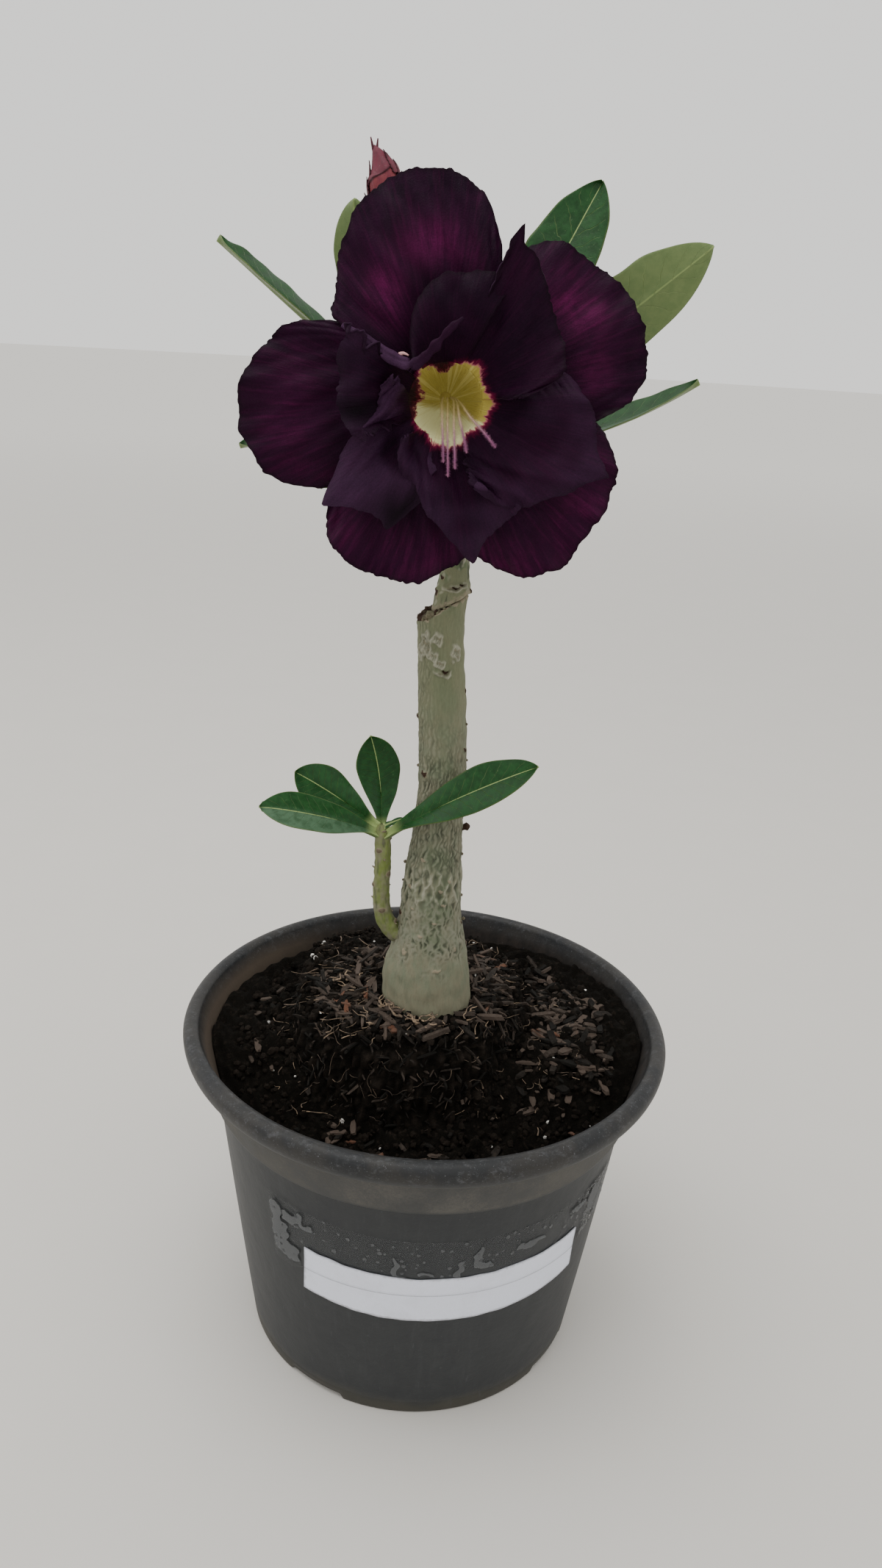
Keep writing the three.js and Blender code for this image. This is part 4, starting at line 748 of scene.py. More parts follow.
def make_pot(s):
    """A profile turned about the pot's axis. The foot ring rises to its notches, and drains are cut through."""
    foot_in = POT["foot"] - POT["foot_width"]
    low = POT["height"] - POT["lip_depth"]
    thick = POT["height"] - POT["rim_height"]
    floor = POT["foot_height"] + POT["floor"]
    a = np.radians(np.linspace(-78, 96, 15))
    crown = stack(POT["rim_radius"] - thick + thick * np.cos(a),
                  POT["rim_height"] + thick * np.sin(a) * np.where(a < 0, 1.9, 1.0))
    collar, foot = POT["collar_radius"], POT["collar_foot"]
    corners = [
        (0.4, 2.2), (foot_in - 0.4, 2.2), (foot_in, 2.15), (foot_in + 0.1, 0.4), (foot_in + 0.4, 0.0),
        (POT["foot"] - 0.6, 0.0), (POT["foot"] - 0.15, 0.2), (body_radius(0.7), 0.7), (body_radius(1.6), 1.6),
        (body_radius(4.2), 4.2), (body_radius(4.6) - 0.08, 4.6), (body_radius(5), 5), (body_radius(foot - 1), foot - 1),
        (body_radius(foot - 0.4) + 0.1, foot - 0.4), (collar - 0.5, foot - 0.15), (collar - 0.05, foot + 0.3),
        (collar + 0.1, foot + 1), (collar + 3.0, low - 1.4), (collar + 3.3, low - 0.5), (collar + 4.4, low + 0.2),
    ]
    inside = [(POT["lip_inner"] + 0.2, POT["height"] - 0.5), (POT["lip_inner"] - 0.1, POT["height"] - 1.4)]
    inside += [(float(inner_radius(z)), z) for z in (low, foot + 1, foot - 1, floor + 2.5)]
    inside += [(float(inner_radius(floor)) - 0.7, floor + 0.6),
               (float(inner_radius(floor)) - 2, floor), (0.4, floor)]
    profile = polyline([*corners, *crown, *inside], 3.0)
    angle = around(420)
    r, z = profile[:, :1], profile[:, 1:]
    inner = ease(r - inner_radius(z), 0.9, 0.3) * ease(z, POT["height"] + 0.1, POT["height"] - 0.9) * (z > 4)
    # How far round each point is from the nearest notch, in millimetres.
    pitch = TAU / NOTCHES["count"]
    first = math.radians(NOTCHES["first"] - 90)
    from_notch = np.abs((angle - first + pitch / 2) % pitch - pitch / 2) * POT["foot"]
    notch = ease(from_notch, NOTCHES["half"] + 0.5, NOTCHES["half"] - 0.5)
    z = np.where(z < 2.2, z + (2.2 - z) * notch, z + 0 * notch)
    slack = s.unevenness / MM * ease(z, 20, 105)
    round_off = 0.6 * np.sin(2 * angle + 0.8) + 0.3 * np.sin(3 * angle + 2.1) + 0.25 * np.sin(7 * angle)
    r = r - slack * (1.15 + round_off)
    pot = Shape().tube(polar(r, angle, z), inner=inner + 0 * angle)
    pot = pot.object("pot_shell", "pot", pot_finish(s), ["pot"])
    cutter = Shape()
    for i in range(NOTCHES["count"]):
        about = first + pitch * i
        out = POT["foot"] - NOTCHES["drain_in"]
        path = vec(out * math.cos(about), out * math.sin(about), 0) + np.array([[0, 0, -1.0], [0, 0, 6.0]])
        cutter.tube(rings_about(path, NOTCHES["drain_radius"] * np.ones(2), 32))
    return drilled(pot, cutter)


def drilled(piece, cutter):
    """Takes the cutter's bodies out of a piece's mesh."""
    mesh = bpy.data.meshes.new("cutter")
    mesh.from_pydata((np.concatenate(cutter.points) * MM).tolist(), [],
                     np.concatenate(cutter.quads).tolist() + np.concatenate(cutter.tris).tolist())
    tool = add_object("cutter", mesh)
    cut = piece.modifiers.new("Drains", "BOOLEAN")
    cut.object, cut.operation, cut.solver = tool, "DIFFERENCE", "EXACT"
    done = bpy.data.meshes.new_from_object(piece.evaluated_get(bpy.context.evaluated_depsgraph_get()))
    piece.modifiers.clear()
    whole, piece.data = piece.data, done
    done.name = piece.name
    bpy.data.meshes.remove(whole)
    bpy.data.objects.remove(tool)
    bpy.data.meshes.remove(mesh)
    return piece


def label_middle(bearing):
    """Level of the label's middle: a straight strip on a cone climbs towards both its ends."""
    centre = (LABEL["first"] + LABEL["last"]) / 2
    return LABEL["middle"] + LABEL["rise"] * ((bearing - centre) / (LABEL["last"] - centre)) ** 2


def on_pot(bearing, z, lift):
    """Points on the pot's body at bearings from the front, a lift above its surface."""
    r = body_radius(z) + lift
    a = np.radians(bearing)
    return stack(r * np.sin(a), -r * np.cos(a), z)


def paper_finish(s):
    f = Finish("Bare label paper")
    fibres = f.noise(f.place((1, 1, 0.5)), 0.5, 5, 0.7)
    stains = f.noise(f.place(), 9, 4, 0.6)
    edge = f.value("edge")
    base = f.over(
        s.paper,
        (f.band(fibres, 0.3, 0.8, 0, 0.14), tint(176, 176, 184)),
        (f.band(stains, 0.5, 0.8, 0, 0.16), tint(160, 158, 160)))
    ragged = f.plus(edge, f.times(f.noise(f.place(), 1.4, 4, 0.7), 2.2))
    base = f.blend(f.band(ragged, 2.2, 0.9, 0, 0.55), base, tint(128, 126, 128))
    return f.shade(base, 0.6, f.bump(fibres, 0.05))


def film_finish(s):
    f = Finish("Clear tape with torn dusty patches")
    grain = f.noise(f.place((1, 1, 0.7)), 2.0, 6, 0.75)
    torn = f.plus(f.value("torn"), f.times(f.minus(grain, 0.5), 0.4))
    patch = f.band(torn, 0.55, 0.64)
    spot = f.cells(f.place(), 2.2)
    kept = f.node("SeparateColor", {0: f.cells(f.place(), 2.2, output="Color")})
    dots = f.band(f.minus(spot, f.times(kept, 0.3)), 0.06, 0.0)
    bubbles = f.cells(f.place(), 1.7, "DISTANCE_TO_EDGE")
    ring = f.times(f.band(f.value("bubbly"), 0.3, 0.8), f.band(bubbles, 0.12, 0.04))
    marks = f.larger(f.times(patch, 0.6), f.times(ring, 0.4))
    # Dots are pale on the clear film and clear on the pale patches.
    marks = f.calc("ABSOLUTE", f.minus(marks, f.times(dots, 0.36)))
    clear = f.minus(1.0, f.value("over_label"))
    alpha = f.plus(f.times(f.plus(marks, 0.04), clear), f.times(f.value("seam"), 0.28))
    return f.shade(s.film, f.band(patch, 0, 1, 0.3, 0.55), f.bump(f.noise(f.place(), 3.5, 3), 0.05),
                   {"Alpha": alpha, "Specular IOR Level": 0.3})


def make_label(s):
    """The strip of label: level = its middle plus a share of its height, on the pot's body, barely wrinkled."""
    v, w = grid_of(22, 200)
    first, last = (LABEL[end] + lean * v for end, lean in zip(("first", "last"), LABEL["lean"]))
    bearing = first + (last - first) * w
    z = label_middle(bearing) + (v - 0.5) * LABEL["height"]
    flat = stack(bearing, z, 0 * z)
    z = z + 0.12 * ripples(flat, 9, 3) * (np.abs(v - 0.5) > 0.49)
    lift = LABEL["lift"] + 0.04 * ripples(flat, 14, 4)
    across = (LABEL["last"] - LABEL["first"]) * math.radians(1) * 60
    edge = np.minimum(np.minimum(v, 1 - v) * LABEL["height"], np.minimum(w, 1 - w) * across)
    shape = Shape().sheet(on_pot(bearing, z, lift), LABEL["thick"], edge=edge)
    shape.object("label_paper", "paper", paper_finish(s), ["paper_label"])


def make_tape(s):
    """The strip of clear tape above and over the label's upper half, lifted a little where it bubbles."""
    v, w = grid_of(84, 420)
    bearing = TAPE["first"] + (TAPE["last"] - TAPE["first"]) * w
    share = ease(bearing, LABEL["first"] - 3, LABEL["first"] + 1)
    crossing = label_middle(bearing) + LABEL["height"] * (0.02 + 0.1 * np.sin((bearing + 30) / 27))
    low = TAPE["low_end"] + (crossing - TAPE["low_end"]) * share + TAPE["end_rise"] * ease(bearing, 50, TAPE["last"])
    centre = (TAPE["first"] + TAPE["last"]) / 2
    high = TAPE["top"] + TAPE["sag"] * ((bearing - centre) / (TAPE["last"] - centre)) ** 2
    z = low + (high - low) * v
    upper = label_middle(bearing) + LABEL["height"] / 2
    on_label = (ease(z, upper + 0.8, upper) * ease(bearing, LABEL["first"] - 0.8, LABEL["first"])
                * ease(bearing, LABEL["last"] + 0.8, LABEL["last"]))
    flat = stack(bearing, z, 0 * z)
    b0 = bearing + 0.4 * ripples(flat, 5, 10) + 0.15 * ripples(flat, 2.2, 11)
    z0 = z + 0.4 * ripples(flat, 5, 12) + 0.15 * ripples(flat, 2.2, 13)
    torn = np.max([1.2 * np.exp(-((b0 - b) / dw) ** 4 - ((z0 - c) / dh) ** 4) for b, c, dw, dh in TORN], 0)
    bubbly = ease(bearing, 47, 60)
    lift = 0.16 + 0.4 * on_label + 0.06 * np.maximum(0, ripples(flat, 5, 9)) * (0.4 + bubbly)
    shape = Shape().sheet(on_pot(bearing, z, lift), TAPE["thick"], torn=torn, bubbly=bubbly, over_label=on_label,
                          seam=ease(v, 0.012, 0.0) * on_label)
    shape.object("tape_film", "tape", film_finish(s), ["clear_tape"])


# ---------------------------------------------------------------- soil

def crumble(x, y):
    """Small uneven rises of loose soil: three crossing waves, about 1 mm up and down."""
    return (0.55 * np.sin(0.33 * x + 0.9) * np.sin(0.29 * y + 0.4) + 0.4 * np.sin(0.71 * x + 0.57 * y)
            + 0.35 * np.sin(0.93 * y - 0.62 * x + 2))


def mix_level(x, y):
    """Level of the loose mix: low in front, rising to the back and to the heap of bark on the right."""
    rise = MIX["front"] + (MIX["back"] - MIX["front"]) * ease(y, *MIX["slope"])
    return rise + MIX["lift"] * ease(x, *MIX["heap"]) + crumble(x, y)


def ball_radius(angle, t):
    """Radius of the root ball by bearing and share of its height: a mound over a tapering plug."""
    knee = BALL["belly_at"]
    plain = np.interp(t, [0, knee, 1], [BALL["foot"], BALL["belly"], BALL["radius"]])
    power = BALL["squareness"]
    corner = (np.abs(np.cos(angle)) ** power + np.abs(np.sin(angle)) ** power) ** (-1 / power)
    lumps = 1 + 0.03 * np.sin(3 * angle + 1) + 0.02 * np.sin(5 * angle + 2 * t)
    return plain * corner * lumps + 0.5 * np.sin(9 * angle + 11 * t) * np.sin(17 * t)


def ball_top(x, y):
    away = np.hypot(x - BALL["x"], y - BALL["y"]) / BALL["radius"]
    return BALL["top"] - BALL["dome"] * away ** 2 + 0.7 * crumble(x + 40, y)


def ball_side(angle, t, out):
    """Points just off the side of the root ball, by bearing and share of its height."""
    r = ball_radius(angle, t) + out
    height = BALL["top"] - BALL["dome"] - BALL["bottom"]
    return polar(r, angle, BALL["bottom"] + height * t, BALL["x"], BALL["y"])


def soil_finish(s, name, dry):
    f = Finish(name)
    lumps = f.noise(f.place(), 2.2, 6, 0.75)
    fine = f.noise(f.place(), 0.45, 3, 0.7)
    base = f.over(
        s.earth,
        (f.band(lumps, 0.5, 0.8, 0, 0.4), s.bark),
        (f.times(f.value("tone"), 0.22), s.bark),
        (f.band(fine, 0.62, 0.72, 0, dry), s.bark))
    return f.shade(base, 0.95, f.bump(fine, 0.35, f.bump(lumps, 1.2)), {"Specular IOR Level": 0.1})


def chip_finish(s):
    f = Finish("Weathered bark slivers")
    tone = f.value("tone")
    grain = f.noise(f.place((1, 0.3, 1)), 1.2, 5, 0.7)
    base = f.over(
        s.earth,
        (f.band(tone, 0.25, 0.9), s.bark),
        (f.band(tone, 0.96, 0.99, 0, 0.7), tint(104, 66, 48)),
        (f.times(f.band(grain, 0.4, 0.7, 0, 0.45), f.band(tone, 0.1, 0.6)), tint(84, 75, 69)))
    return f.shade(base, 0.85, f.bump(grain, 0.4), {"Specular IOR Level": 0.2})


def straw_finish(name, base, dark):
    f = Finish(name)
    tone = f.value("tone")
    streaks = f.noise(f.place(), 1.6, 4, 0.6)
    mixed = f.blend(f.band(streaks, 0.35, 0.7), base, dark)
    return f.shade(f.blend(f.times(tone, 0.7), mixed, dark), 0.8, f.bump(streaks, 0.15))


def make_mix(s):
    """A closed body inside the pot: bottom, wall and a surface whose level is a function of place."""
    angle = around(300)
    cos, sin = np.cos(angle), np.sin(angle)
    clear = 0.45

    def edge(level):
        near = float(inner_radius(POT["collar_foot"]))
        return inner_radius(level(near * cos, near * sin) - 0.5) - clear

    rings = [polar(r, angle, MIX["bottom"]) for r in (2.0, 48.0)]
    rim = edge(mix_level)
    corner = MIX["bottom"] + 3.0
    foot = inner_radius(np.full(300, corner)) - clear
    top = mix_level(rim * cos, rim * sin) - 1.2
    for share in np.linspace(0, 1, 12):
        z = corner + (top - corner) * share
        r = np.minimum(inner_radius(z) - clear, foot + (rim - foot) * share + 4)
        rings.append(stack(r * cos, r * sin, z))
    for share in np.concatenate([np.linspace(0.995, 0.34, 84), np.linspace(0.3, 0.02, 8)]):
        x, y = rim * share * cos, rim * share * sin
        flat = stack(x, y, 0 * x)
        rough = ripples(flat, 6, 21) * 0.9 + ripples(flat, 2.6, 22) * 0.55
        rings.append(stack(x, y, mix_level(x, y) + rough * s.crumb / MM * ease(share, 1.0, 0.96)))
    body = Shape().tube(np.stack(rings), tone=0.0)
    body.object("mix_surface", "mix", soil_finish(s, "Dark peaty mix", 0.25), ["potting_mix"])


def on_soil(x, y):
    """The level that shows at a place: the root ball's top within its rim, the loose mix outside it."""
    angle = np.arctan2(y - BALL["y"], x - BALL["x"])
    away = np.hypot(x - BALL["x"], y - BALL["y"])
    return np.where(away < ball_radius(angle, 0.97), ball_top(x, y), mix_level(x, y))


def strewn(draw, count, outer=0.97, ball=True):
    """Random places on the soil, clear of the trunk: x, y and the level there."""
    r = (inner_radius(80.0) * outer - 1) * np.sqrt(draw.uniform(0, 1, count))
    a = draw.uniform(0, TAU, count)
    x, y = r * np.cos(a), r * np.sin(a)
    keep = np.hypot(x - TRUNK_FOOT["x"], y - TRUNK_FOOT["y"]) > TRUNK_FOOT["clear"]
    if not ball:
        keep &= np.hypot(x - BALL["x"], y - BALL["y"]) > BALL["clear"]
    x, y = x[keep], y[keep]
    return stack(x, y, on_soil(x, y))


def make_litter(s):
    """Crumbs, bark chips, perlite and dry fibres strewn over the soil, each small body at a random place."""
    draw = np.random.default_rng(12)
    grain, faces = pebble()
    crumbs = Shape()
    at = strewn(draw, LITTER["crumbs"])
    crumbs.scatter(grain, faces, at + vec(0, 0, 0.2), draw.uniform(0.35, 1.25, len(at)), 31)
    crumbs.object("soil_crumbs", "soil", soil_finish(s, "Loose crumbs", 0.3), smooth=False)

    chip, sides = slab()
    chips = Shape()
    at = strewn(draw, LITTER["chips"], 0.95, ball=False)
    heap = ease(at[:, 0], 22, 42) * ease(at[:, 1], -30, -8)
    at = at[draw.uniform(0, 1, len(at)) < 0.1 + 0.9 * heap]
    chips.scatter(chip, sides, at + vec(0, 0, 0.7), draw.uniform(1.3, 3.5, len(at)), 32, squash=(1.0, 0.34, 0.13),
                  upright=True)
    top = strewn(draw, LITTER["mound_chips"], 0.6)
    top = top[np.hypot(top[:, 0] - BALL["x"], top[:, 1] - BALL["y"]) < BALL["radius"] - 2]
    chips.scatter(chip, sides, top + vec(0, 0, 0.5), draw.uniform(1.3, 4.0, len(top)), 33,
                  squash=(1.0, 0.2, 0.11), upright=True)
    # Thin slivers that stick to the front of the root ball, and longer ones about the foot of the trunk.
    loose = np.random.default_rng(13)
    count = LITTER["side_slivers"]
    side = ball_side(-math.pi * loose.uniform(0, 1, count), 1 - 0.5 * loose.uniform(0, 1, count) ** 1.2, 0.2)
    chips.scatter(chip, sides, side, loose.uniform(0.9, 3.2, count), 35, squash=(1.0, 0.13, 0.1),
                  tone=loose.uniform(0.05, 0.75, count) ** 1.5)
    count = LITTER["foot_slivers"]
    about, away = loose.uniform(0, TAU, count), loose.uniform(15.0, 27.0, count)
    x, y = TRUNK_FOOT["x"] + away * np.cos(about), TRUNK_FOOT["y"] + away * np.sin(about)
    chips.scatter(chip, sides, stack(x, y, on_soil(x, y) + 1.1), loose.uniform(2.4, 5.2, count), 36,
                  squash=(1.0, 0.16, 0.12), upright=True, tone=loose.uniform(0.3, 0.9, count))
    chips.object("bark_slivers", "mix", chip_finish(s), smooth=False)

    stones = Shape()
    at = strewn(draw, LITTER["perlite"])
    stones.scatter(grain, faces, at + vec(0, 0, 0.5), draw.uniform(0.25, 0.75, len(at)), 34)
    white = Finish("Perlite")
    pores = white.noise(white.place(), 0.5, 3, 0.7)
    stones.object("perlite", "mix", white.shade(white.blend(white.band(pores, 0.4, 0.65), s.stone, s.bark), 0.9,
                                                white.bump(pores, 0.2)), smooth=False)

    fibres = Shape()
    at = strewn(draw, LITTER["fibres"], 0.8)
    at = at[at[:, 1] > -26]
    for place, tone in zip(at, draw.uniform(0, 1, len(at))):
        turn = draw.uniform(0, TAU)
        step = draw.uniform(0.9, 2.6)
        bends = np.cumsum(draw.normal(scale=0.6, size=5)) + turn
        way = np.cumsum(stack(np.cos(bends), np.sin(bends), draw.normal(scale=0.2, size=5)) * step, 0)
        way -= way.mean(0)
        way[:, 2] = np.abs(way[:, 2]) * 0.5 + draw.uniform(0.1, 0.9)
        thread(fibres, place + way, draw.uniform(0.08, 0.24), 9, 4, tone=tone)
    # Fine threads on the front of the root ball.
    for _ in range(LITTER["threads"]):
        a, up = -math.pi * loose.uniform(0.05, 0.95), 1 - 0.48 * loose.uniform()
        bends = np.cumsum(loose.normal(scale=0.5, size=6)) + loose.uniform(0, TAU)
        path = np.cumsum(stack(np.cos(bends), np.sin(bends)) * loose.uniform(0.5, 1.5), 0)
        thread(fibres, ball_side(a + path[:, 0] / 40, up + path[:, 1] / 66, 0.5), loose.uniform(0.06, 0.13), 9, 4,
               tone=loose.uniform(0.7, 1.3))
    # Tufts of curled dry fibres about the foot of the trunk.
    for x, y, count in TUFTS:
        for _ in range(count):
            start = vec(x, y, on_soil(x, y) + 0.3) + draw.normal(scale=1.0, size=3) * vec(1, 1, 0.3)
            bends = np.cumsum(draw.normal(scale=0.95, size=6)) + draw.uniform(0, TAU)
            way = np.cumsum(stack(np.cos(bends), np.sin(bends), draw.uniform(0.1, 0.7, 6)) * 1.0, 0)
            thread(fibres, start + way, draw.uniform(0.22, 0.5), 12, 6, tone=draw.uniform(0, 0.4))
    fibres.object("dry_fibres", "soil", straw_finish("Dry fibres", s.fibre, s.bark))


def make_ball(s):
    """The mound about the trunk: rings up its side, over a rounded shoulder and in across its top."""
    angle = around(280)
    cos, sin = np.cos(angle), np.sin(angle)
    height = BALL["top"] - BALL["dome"] - BALL["bottom"]
    rings = []
    for t in np.concatenate([np.linspace(0, 0.55, 12), np.linspace(0.57, 0.93, 60)]):
        rings.append((ball_radius(angle, t), BALL["bottom"] + height * t + 0 * angle))
    for share in np.concatenate([np.linspace(0.995, 0.86, 18), np.linspace(0.84, 0.04, 50)]):
        r = ball_radius(angle, 1.0) * share + 0.4
        x, y = BALL["x"] + r * cos, BALL["y"] + r * sin
        rings.append((r, ball_top(x, y) - 3.6 * ease(share, 0.74, 1.02) ** 1.6))
    r = np.stack([ring[0] for ring in rings])
    z = np.stack([ring[1] for ring in rings])
    here = stack(BALL["x"] + r * cos, BALL["y"] + r * sin, z)
    side = ease(z, BALL["top"] - 4, BALL["top"] - 9)
    threads = ripples(here * vec(1, 1, 0.22), 3.2, 41) + 0.8 * ripples(here * vec(1, 1, 0.3), 1.7, 42)
    grit = ripples(here, 3.4, 43) * 0.5 + ripples(here, 1.8, 44) * 0.35 + ripples(here, 9, 45) * 0.5
    crumb = s.crumb / MM
    r = r + crumb * (side * threads * 0.55 + 0.35 * grit)
    z = z + crumb * (1 - side) * 0.9 * grit * ease(z, BALL["bottom"], BALL["bottom"] + 6)
    body = Shape().tube(stack(BALL["x"] + r * cos, BALL["y"] + r * sin, z), tone=np.clip(threads * 0.4, 0, 1) * side)
    body.object("root_mound", "soil", soil_finish(s, "Matted roots and peat", 0.4), ["root_ball"])


# ---------------------------------------------------------------- stems

def bark_finish(s, name, skin):
    f = Finish(name)
    mottle = f.noise(f.place((1, 1, 0.6)), 3.0, 5, 0.65)
    fine = f.noise(f.place((1, 1, 0.2)), 0.45, 4, 0.7)
    base = f.over(
        skin,
        (f.band(mottle, 0.3, 0.7), tint(118, 115, 96)),
        (f.band(f.axis(2), 185, 222, 0, 0.6), tint(104, 108, 80)),
        (f.band(f.axis(2), 124, 108, 0, 0.6), tint(124, 119, 100)),
        (f.times(f.value("green"), 0.7), tint(84, 98, 72)),
        (f.times(f.value("ridge"), 0.7), s.ridge),
        (f.times(f.value("furrow"), 0.9), s.furrow),
        (f.band(fine, 0.48, 0.72, 0, 0.2), s.furrow))
    patchy = f.plus(f.value("scar"), f.times(f.minus(f.noise(f.place(), 1.1, 4, 0.7), 0.5), 0.9))
    base = f.over(
        base,
        (f.band(patchy, 0.3, 0.6, 0, 0.8), s.tan),
        (f.band(f.value("dark"), 0.2, 0.8), tint(52, 36, 26)))
    return f.shade(base, 0.8, f.bump(fine, 0.12, f.bump(mottle, 0.25)), {"Specular IOR Level": 0.25})


def marks_on(bearing, z, radius, marks):
    """How strongly each point of a stem is tan cork, a dark hollow, how far it is raised, in millimetres, and how
    strongly it is pale, crackled cork."""
    scar, dark, rise, pale = (np.zeros_like(z) for _ in range(4))
    for b, level, wide, high, kind in marks:
        dx = np.radians((bearing - b + 180) % 360 - 180) * radius / wide
        dz = (z - level) / high
        uneven = stack(dx * wide, dz * high, 0 * dx)
        dx = dx + 0.22 * ripples(uneven, 2.4, 49)
        dz = dz + 0.22 * ripples(uneven, 2.4, 50)
        d = np.sqrt(dx ** 2 + dz ** 2)
        rim = np.exp(-((d - 1) / 0.28) ** 2)
        fill = ease(d, 1.15, 0.75)
        if kind == "scar":
            cracks = np.exp(-(ripples(uneven, 1.3, 48) / 0.35) ** 2)
            pale = np.maximum(pale, np.maximum(1.2 * rim, fill * (0.3 + 0.9 * cracks)))
            scar = np.maximum(scar, 0.42 * fill * (1 - cracks))
            rise += 0.25 * rim - 0.12 * fill + 0.15 * fill * cracks
        elif kind == "hole":
            pale = np.maximum(pale, 1.1 * rim * ease(dz, 0.5, -0.3))
            scar = np.maximum(scar, 0.4 * ease(d, 1.1, 0.7))
            dark = np.maximum(dark, ease(d, 0.6, 0.35))
            rise += 0.4 * rim - 0.8 * ease(d, 0.8, 0.3)
        elif kind == "brown":
            scar = np.maximum(scar, 0.45 * ease(d, 1.4, 0.8))
            dark = np.maximum(dark, 0.9 * ease(d, 1.0, 0.5))
            rise += 0.55 * ease(d, 1.4, 0.2)
        else:
            scar = np.maximum(scar, 0.75 * fill)
            dark = np.maximum(dark, 0.3 * ease(d, 0.6, 0.2))
            rise += 0.3 * fill
    return scar, dark, rise, pale


def cut_level(x):
    return GRAFT["z"] + (x - GRAFT["x"]) * math.tan(math.radians(GRAFT["slope"]))


def lozenges(angle, here, count, high, waver, seed):
    """Distance, in cells, to the nearest of two crossing families of wavering lines wound round a stem: they run
    where count * angle / tau + z / high, and the same with -z, pass whole numbers. Some lines are fainter."""
    near = np.full(angle.shape, 9.0)
    for i, way in enumerate((1, -1)):
        u = count * angle / TAU + way * here[..., 2] / high
        u = u + waver * (ripples(here, 4.5, seed + i) + 0.45 * ripples(here, 1.9, seed + 2 + i))
        line = np.round(u)
        faint = 0.5 + 0.5 * np.sin(12.9 * (line % count) + 3 * ripples(here, 9, seed + 4 + i))
        near = np.minimum(near, np.abs(u - line) + 0.07 * faint)
    return near


def make_rootstock(s):
    """Rings from the root ball to the slanting cut. Low on the trunk pale ridges follow the edges of a net of
    lozenges, higher up dark grooves part long narrow plates, and the smooth foot has only faint streaks."""
    v, w = grid_of(400, 236)
    a = TAU * w[:, :-1]
    v = v[:, :-1]
    top = cut_level(GRAFT["trunk_x"] + GRAFT["trunk_radius"] * np.cos(a))
    z = TRUNK[0][0] + (top - TRUNK[0][0]) * v
    cx, cy, r = by_level(TRUNK, z)
    bearing = np.degrees(a) + 90
    here = polar(r, a, z)
    ridge, furrow = np.zeros_like(z), np.zeros_like(z)
    edges = [level for level, *_ in NETS[1:]]
    rough = z + 1.5 * ripples(here, 5, 53)
    for i, (level, count, high, waver, pale) in enumerate(NETS):
        share = (ease(rough, level - 2, level + 2) if i else 1.0)
        share = share * (1 - ease(rough, edges[i] - 2, edges[i] + 2) if i < len(edges) else 1.0)
        near = lozenges(a, here, count, high, waver, 57 + 8 * i)
        line = np.exp(-(near * TAU * NET["radius"] / count / NET["line"]) ** 2)
        line = line * (0.95 + 0.25 * ripples(here, 3.5, 47 + i))
        field = ease(near, 0.18, 0.42)
        ridge = ridge + share * (pale * line + (1 - pale) * 0.5 * field)
        furrow = furrow + share * ((1 - pale) * line + pale * field * (0.85 + 0.3 * ripples(here, 9, 59)))
    left = ease(-np.sin(np.radians(bearing)), 0.1, 0.8)
    fade = ease(z + 2.5 * ripples(here, 9, 46), 125, 135) * (1 - (0.85 - 0.45 * left) * ease(z, 176, 212))
    grain = ripples(here * vec(1, 1, 0.1), 1.1, 45)
    foot = (1 - ease(z, 130, 135)) * np.maximum(0, grain) * 0.05
    ridge, furrow = np.clip(ridge * fade, 0, 1), np.clip(furrow * fade + foot, 0, 1)
    scar, dark, rise, pale = marks_on(bearing, z, r, MARKS)
    ridge = np.maximum(ridge, pale)
    streak = ripples(here * vec(1, 1, 0.25), 1.6, 60) * 0.035 + ripples(here, 6, 55) * 0.1
    depth = s.relief / MM
    r = r + depth * (0.7 * ridge - 0.8 * furrow) + streak + rise
    under_cut = top - z
    lip = np.exp(-((under_cut - 0.9) / 0.8) ** 2) * (0.12 + 0.08 * ripples(here, 2.2, 56))
    r = r + lip - 0.7 * ease(under_cut, 0.5, 0.0)
    cork = 0.7 * ease(under_cut + 0.3 * ripples(here, 3, 57), 0.9, 0.3)
    # Green bark is laid on the trunk's front and back and kept off its sides: the green is the bark's own, and leaving
    # the sides paler paints the light of the pale room on them.
    front = np.cos(np.radians(bearing * 2 - 10))
    green = ease(front + 0.35 * ripples(here, 12, 62), 0.0, 1.4) * ease(z, 128, 140) * (1 - 0.5 * ease(z, 180, 212))
    shape = Shape().tube(polar(r, a, z, cx, cy), furrow=np.clip(furrow, 0, 1), ridge=ridge,
                         green=green, scar=np.maximum(scar, cork), dark=dark)
    # One dead spur and a few dried stubs stand off the bark.
    for about, level, size in STUBS:
        x0, y0, radius = by_level(TRUNK, np.array([float(level)]))
        way = vec(math.sin(math.radians(about)), -math.cos(math.radians(about)), 0.25)
        foot = vec(x0[0], y0[0], level) + way * (radius[0] - 0.5)
        path = foot + way * np.linspace(0, size * 1.8, 7)[:, None]
        shape.tube(rings_about(path, size * vec(0.6, 0.7, 0.6, 0.7, 0.85, 0.6, 0.2), 12), scar=0.5,
                   dark=0.95 if size > 1 else 0.5)
    shape.object("rootstock_bark", "bark", bark_finish(s, "Furrowed grey-green bark", s.bark), ["rootstock"])


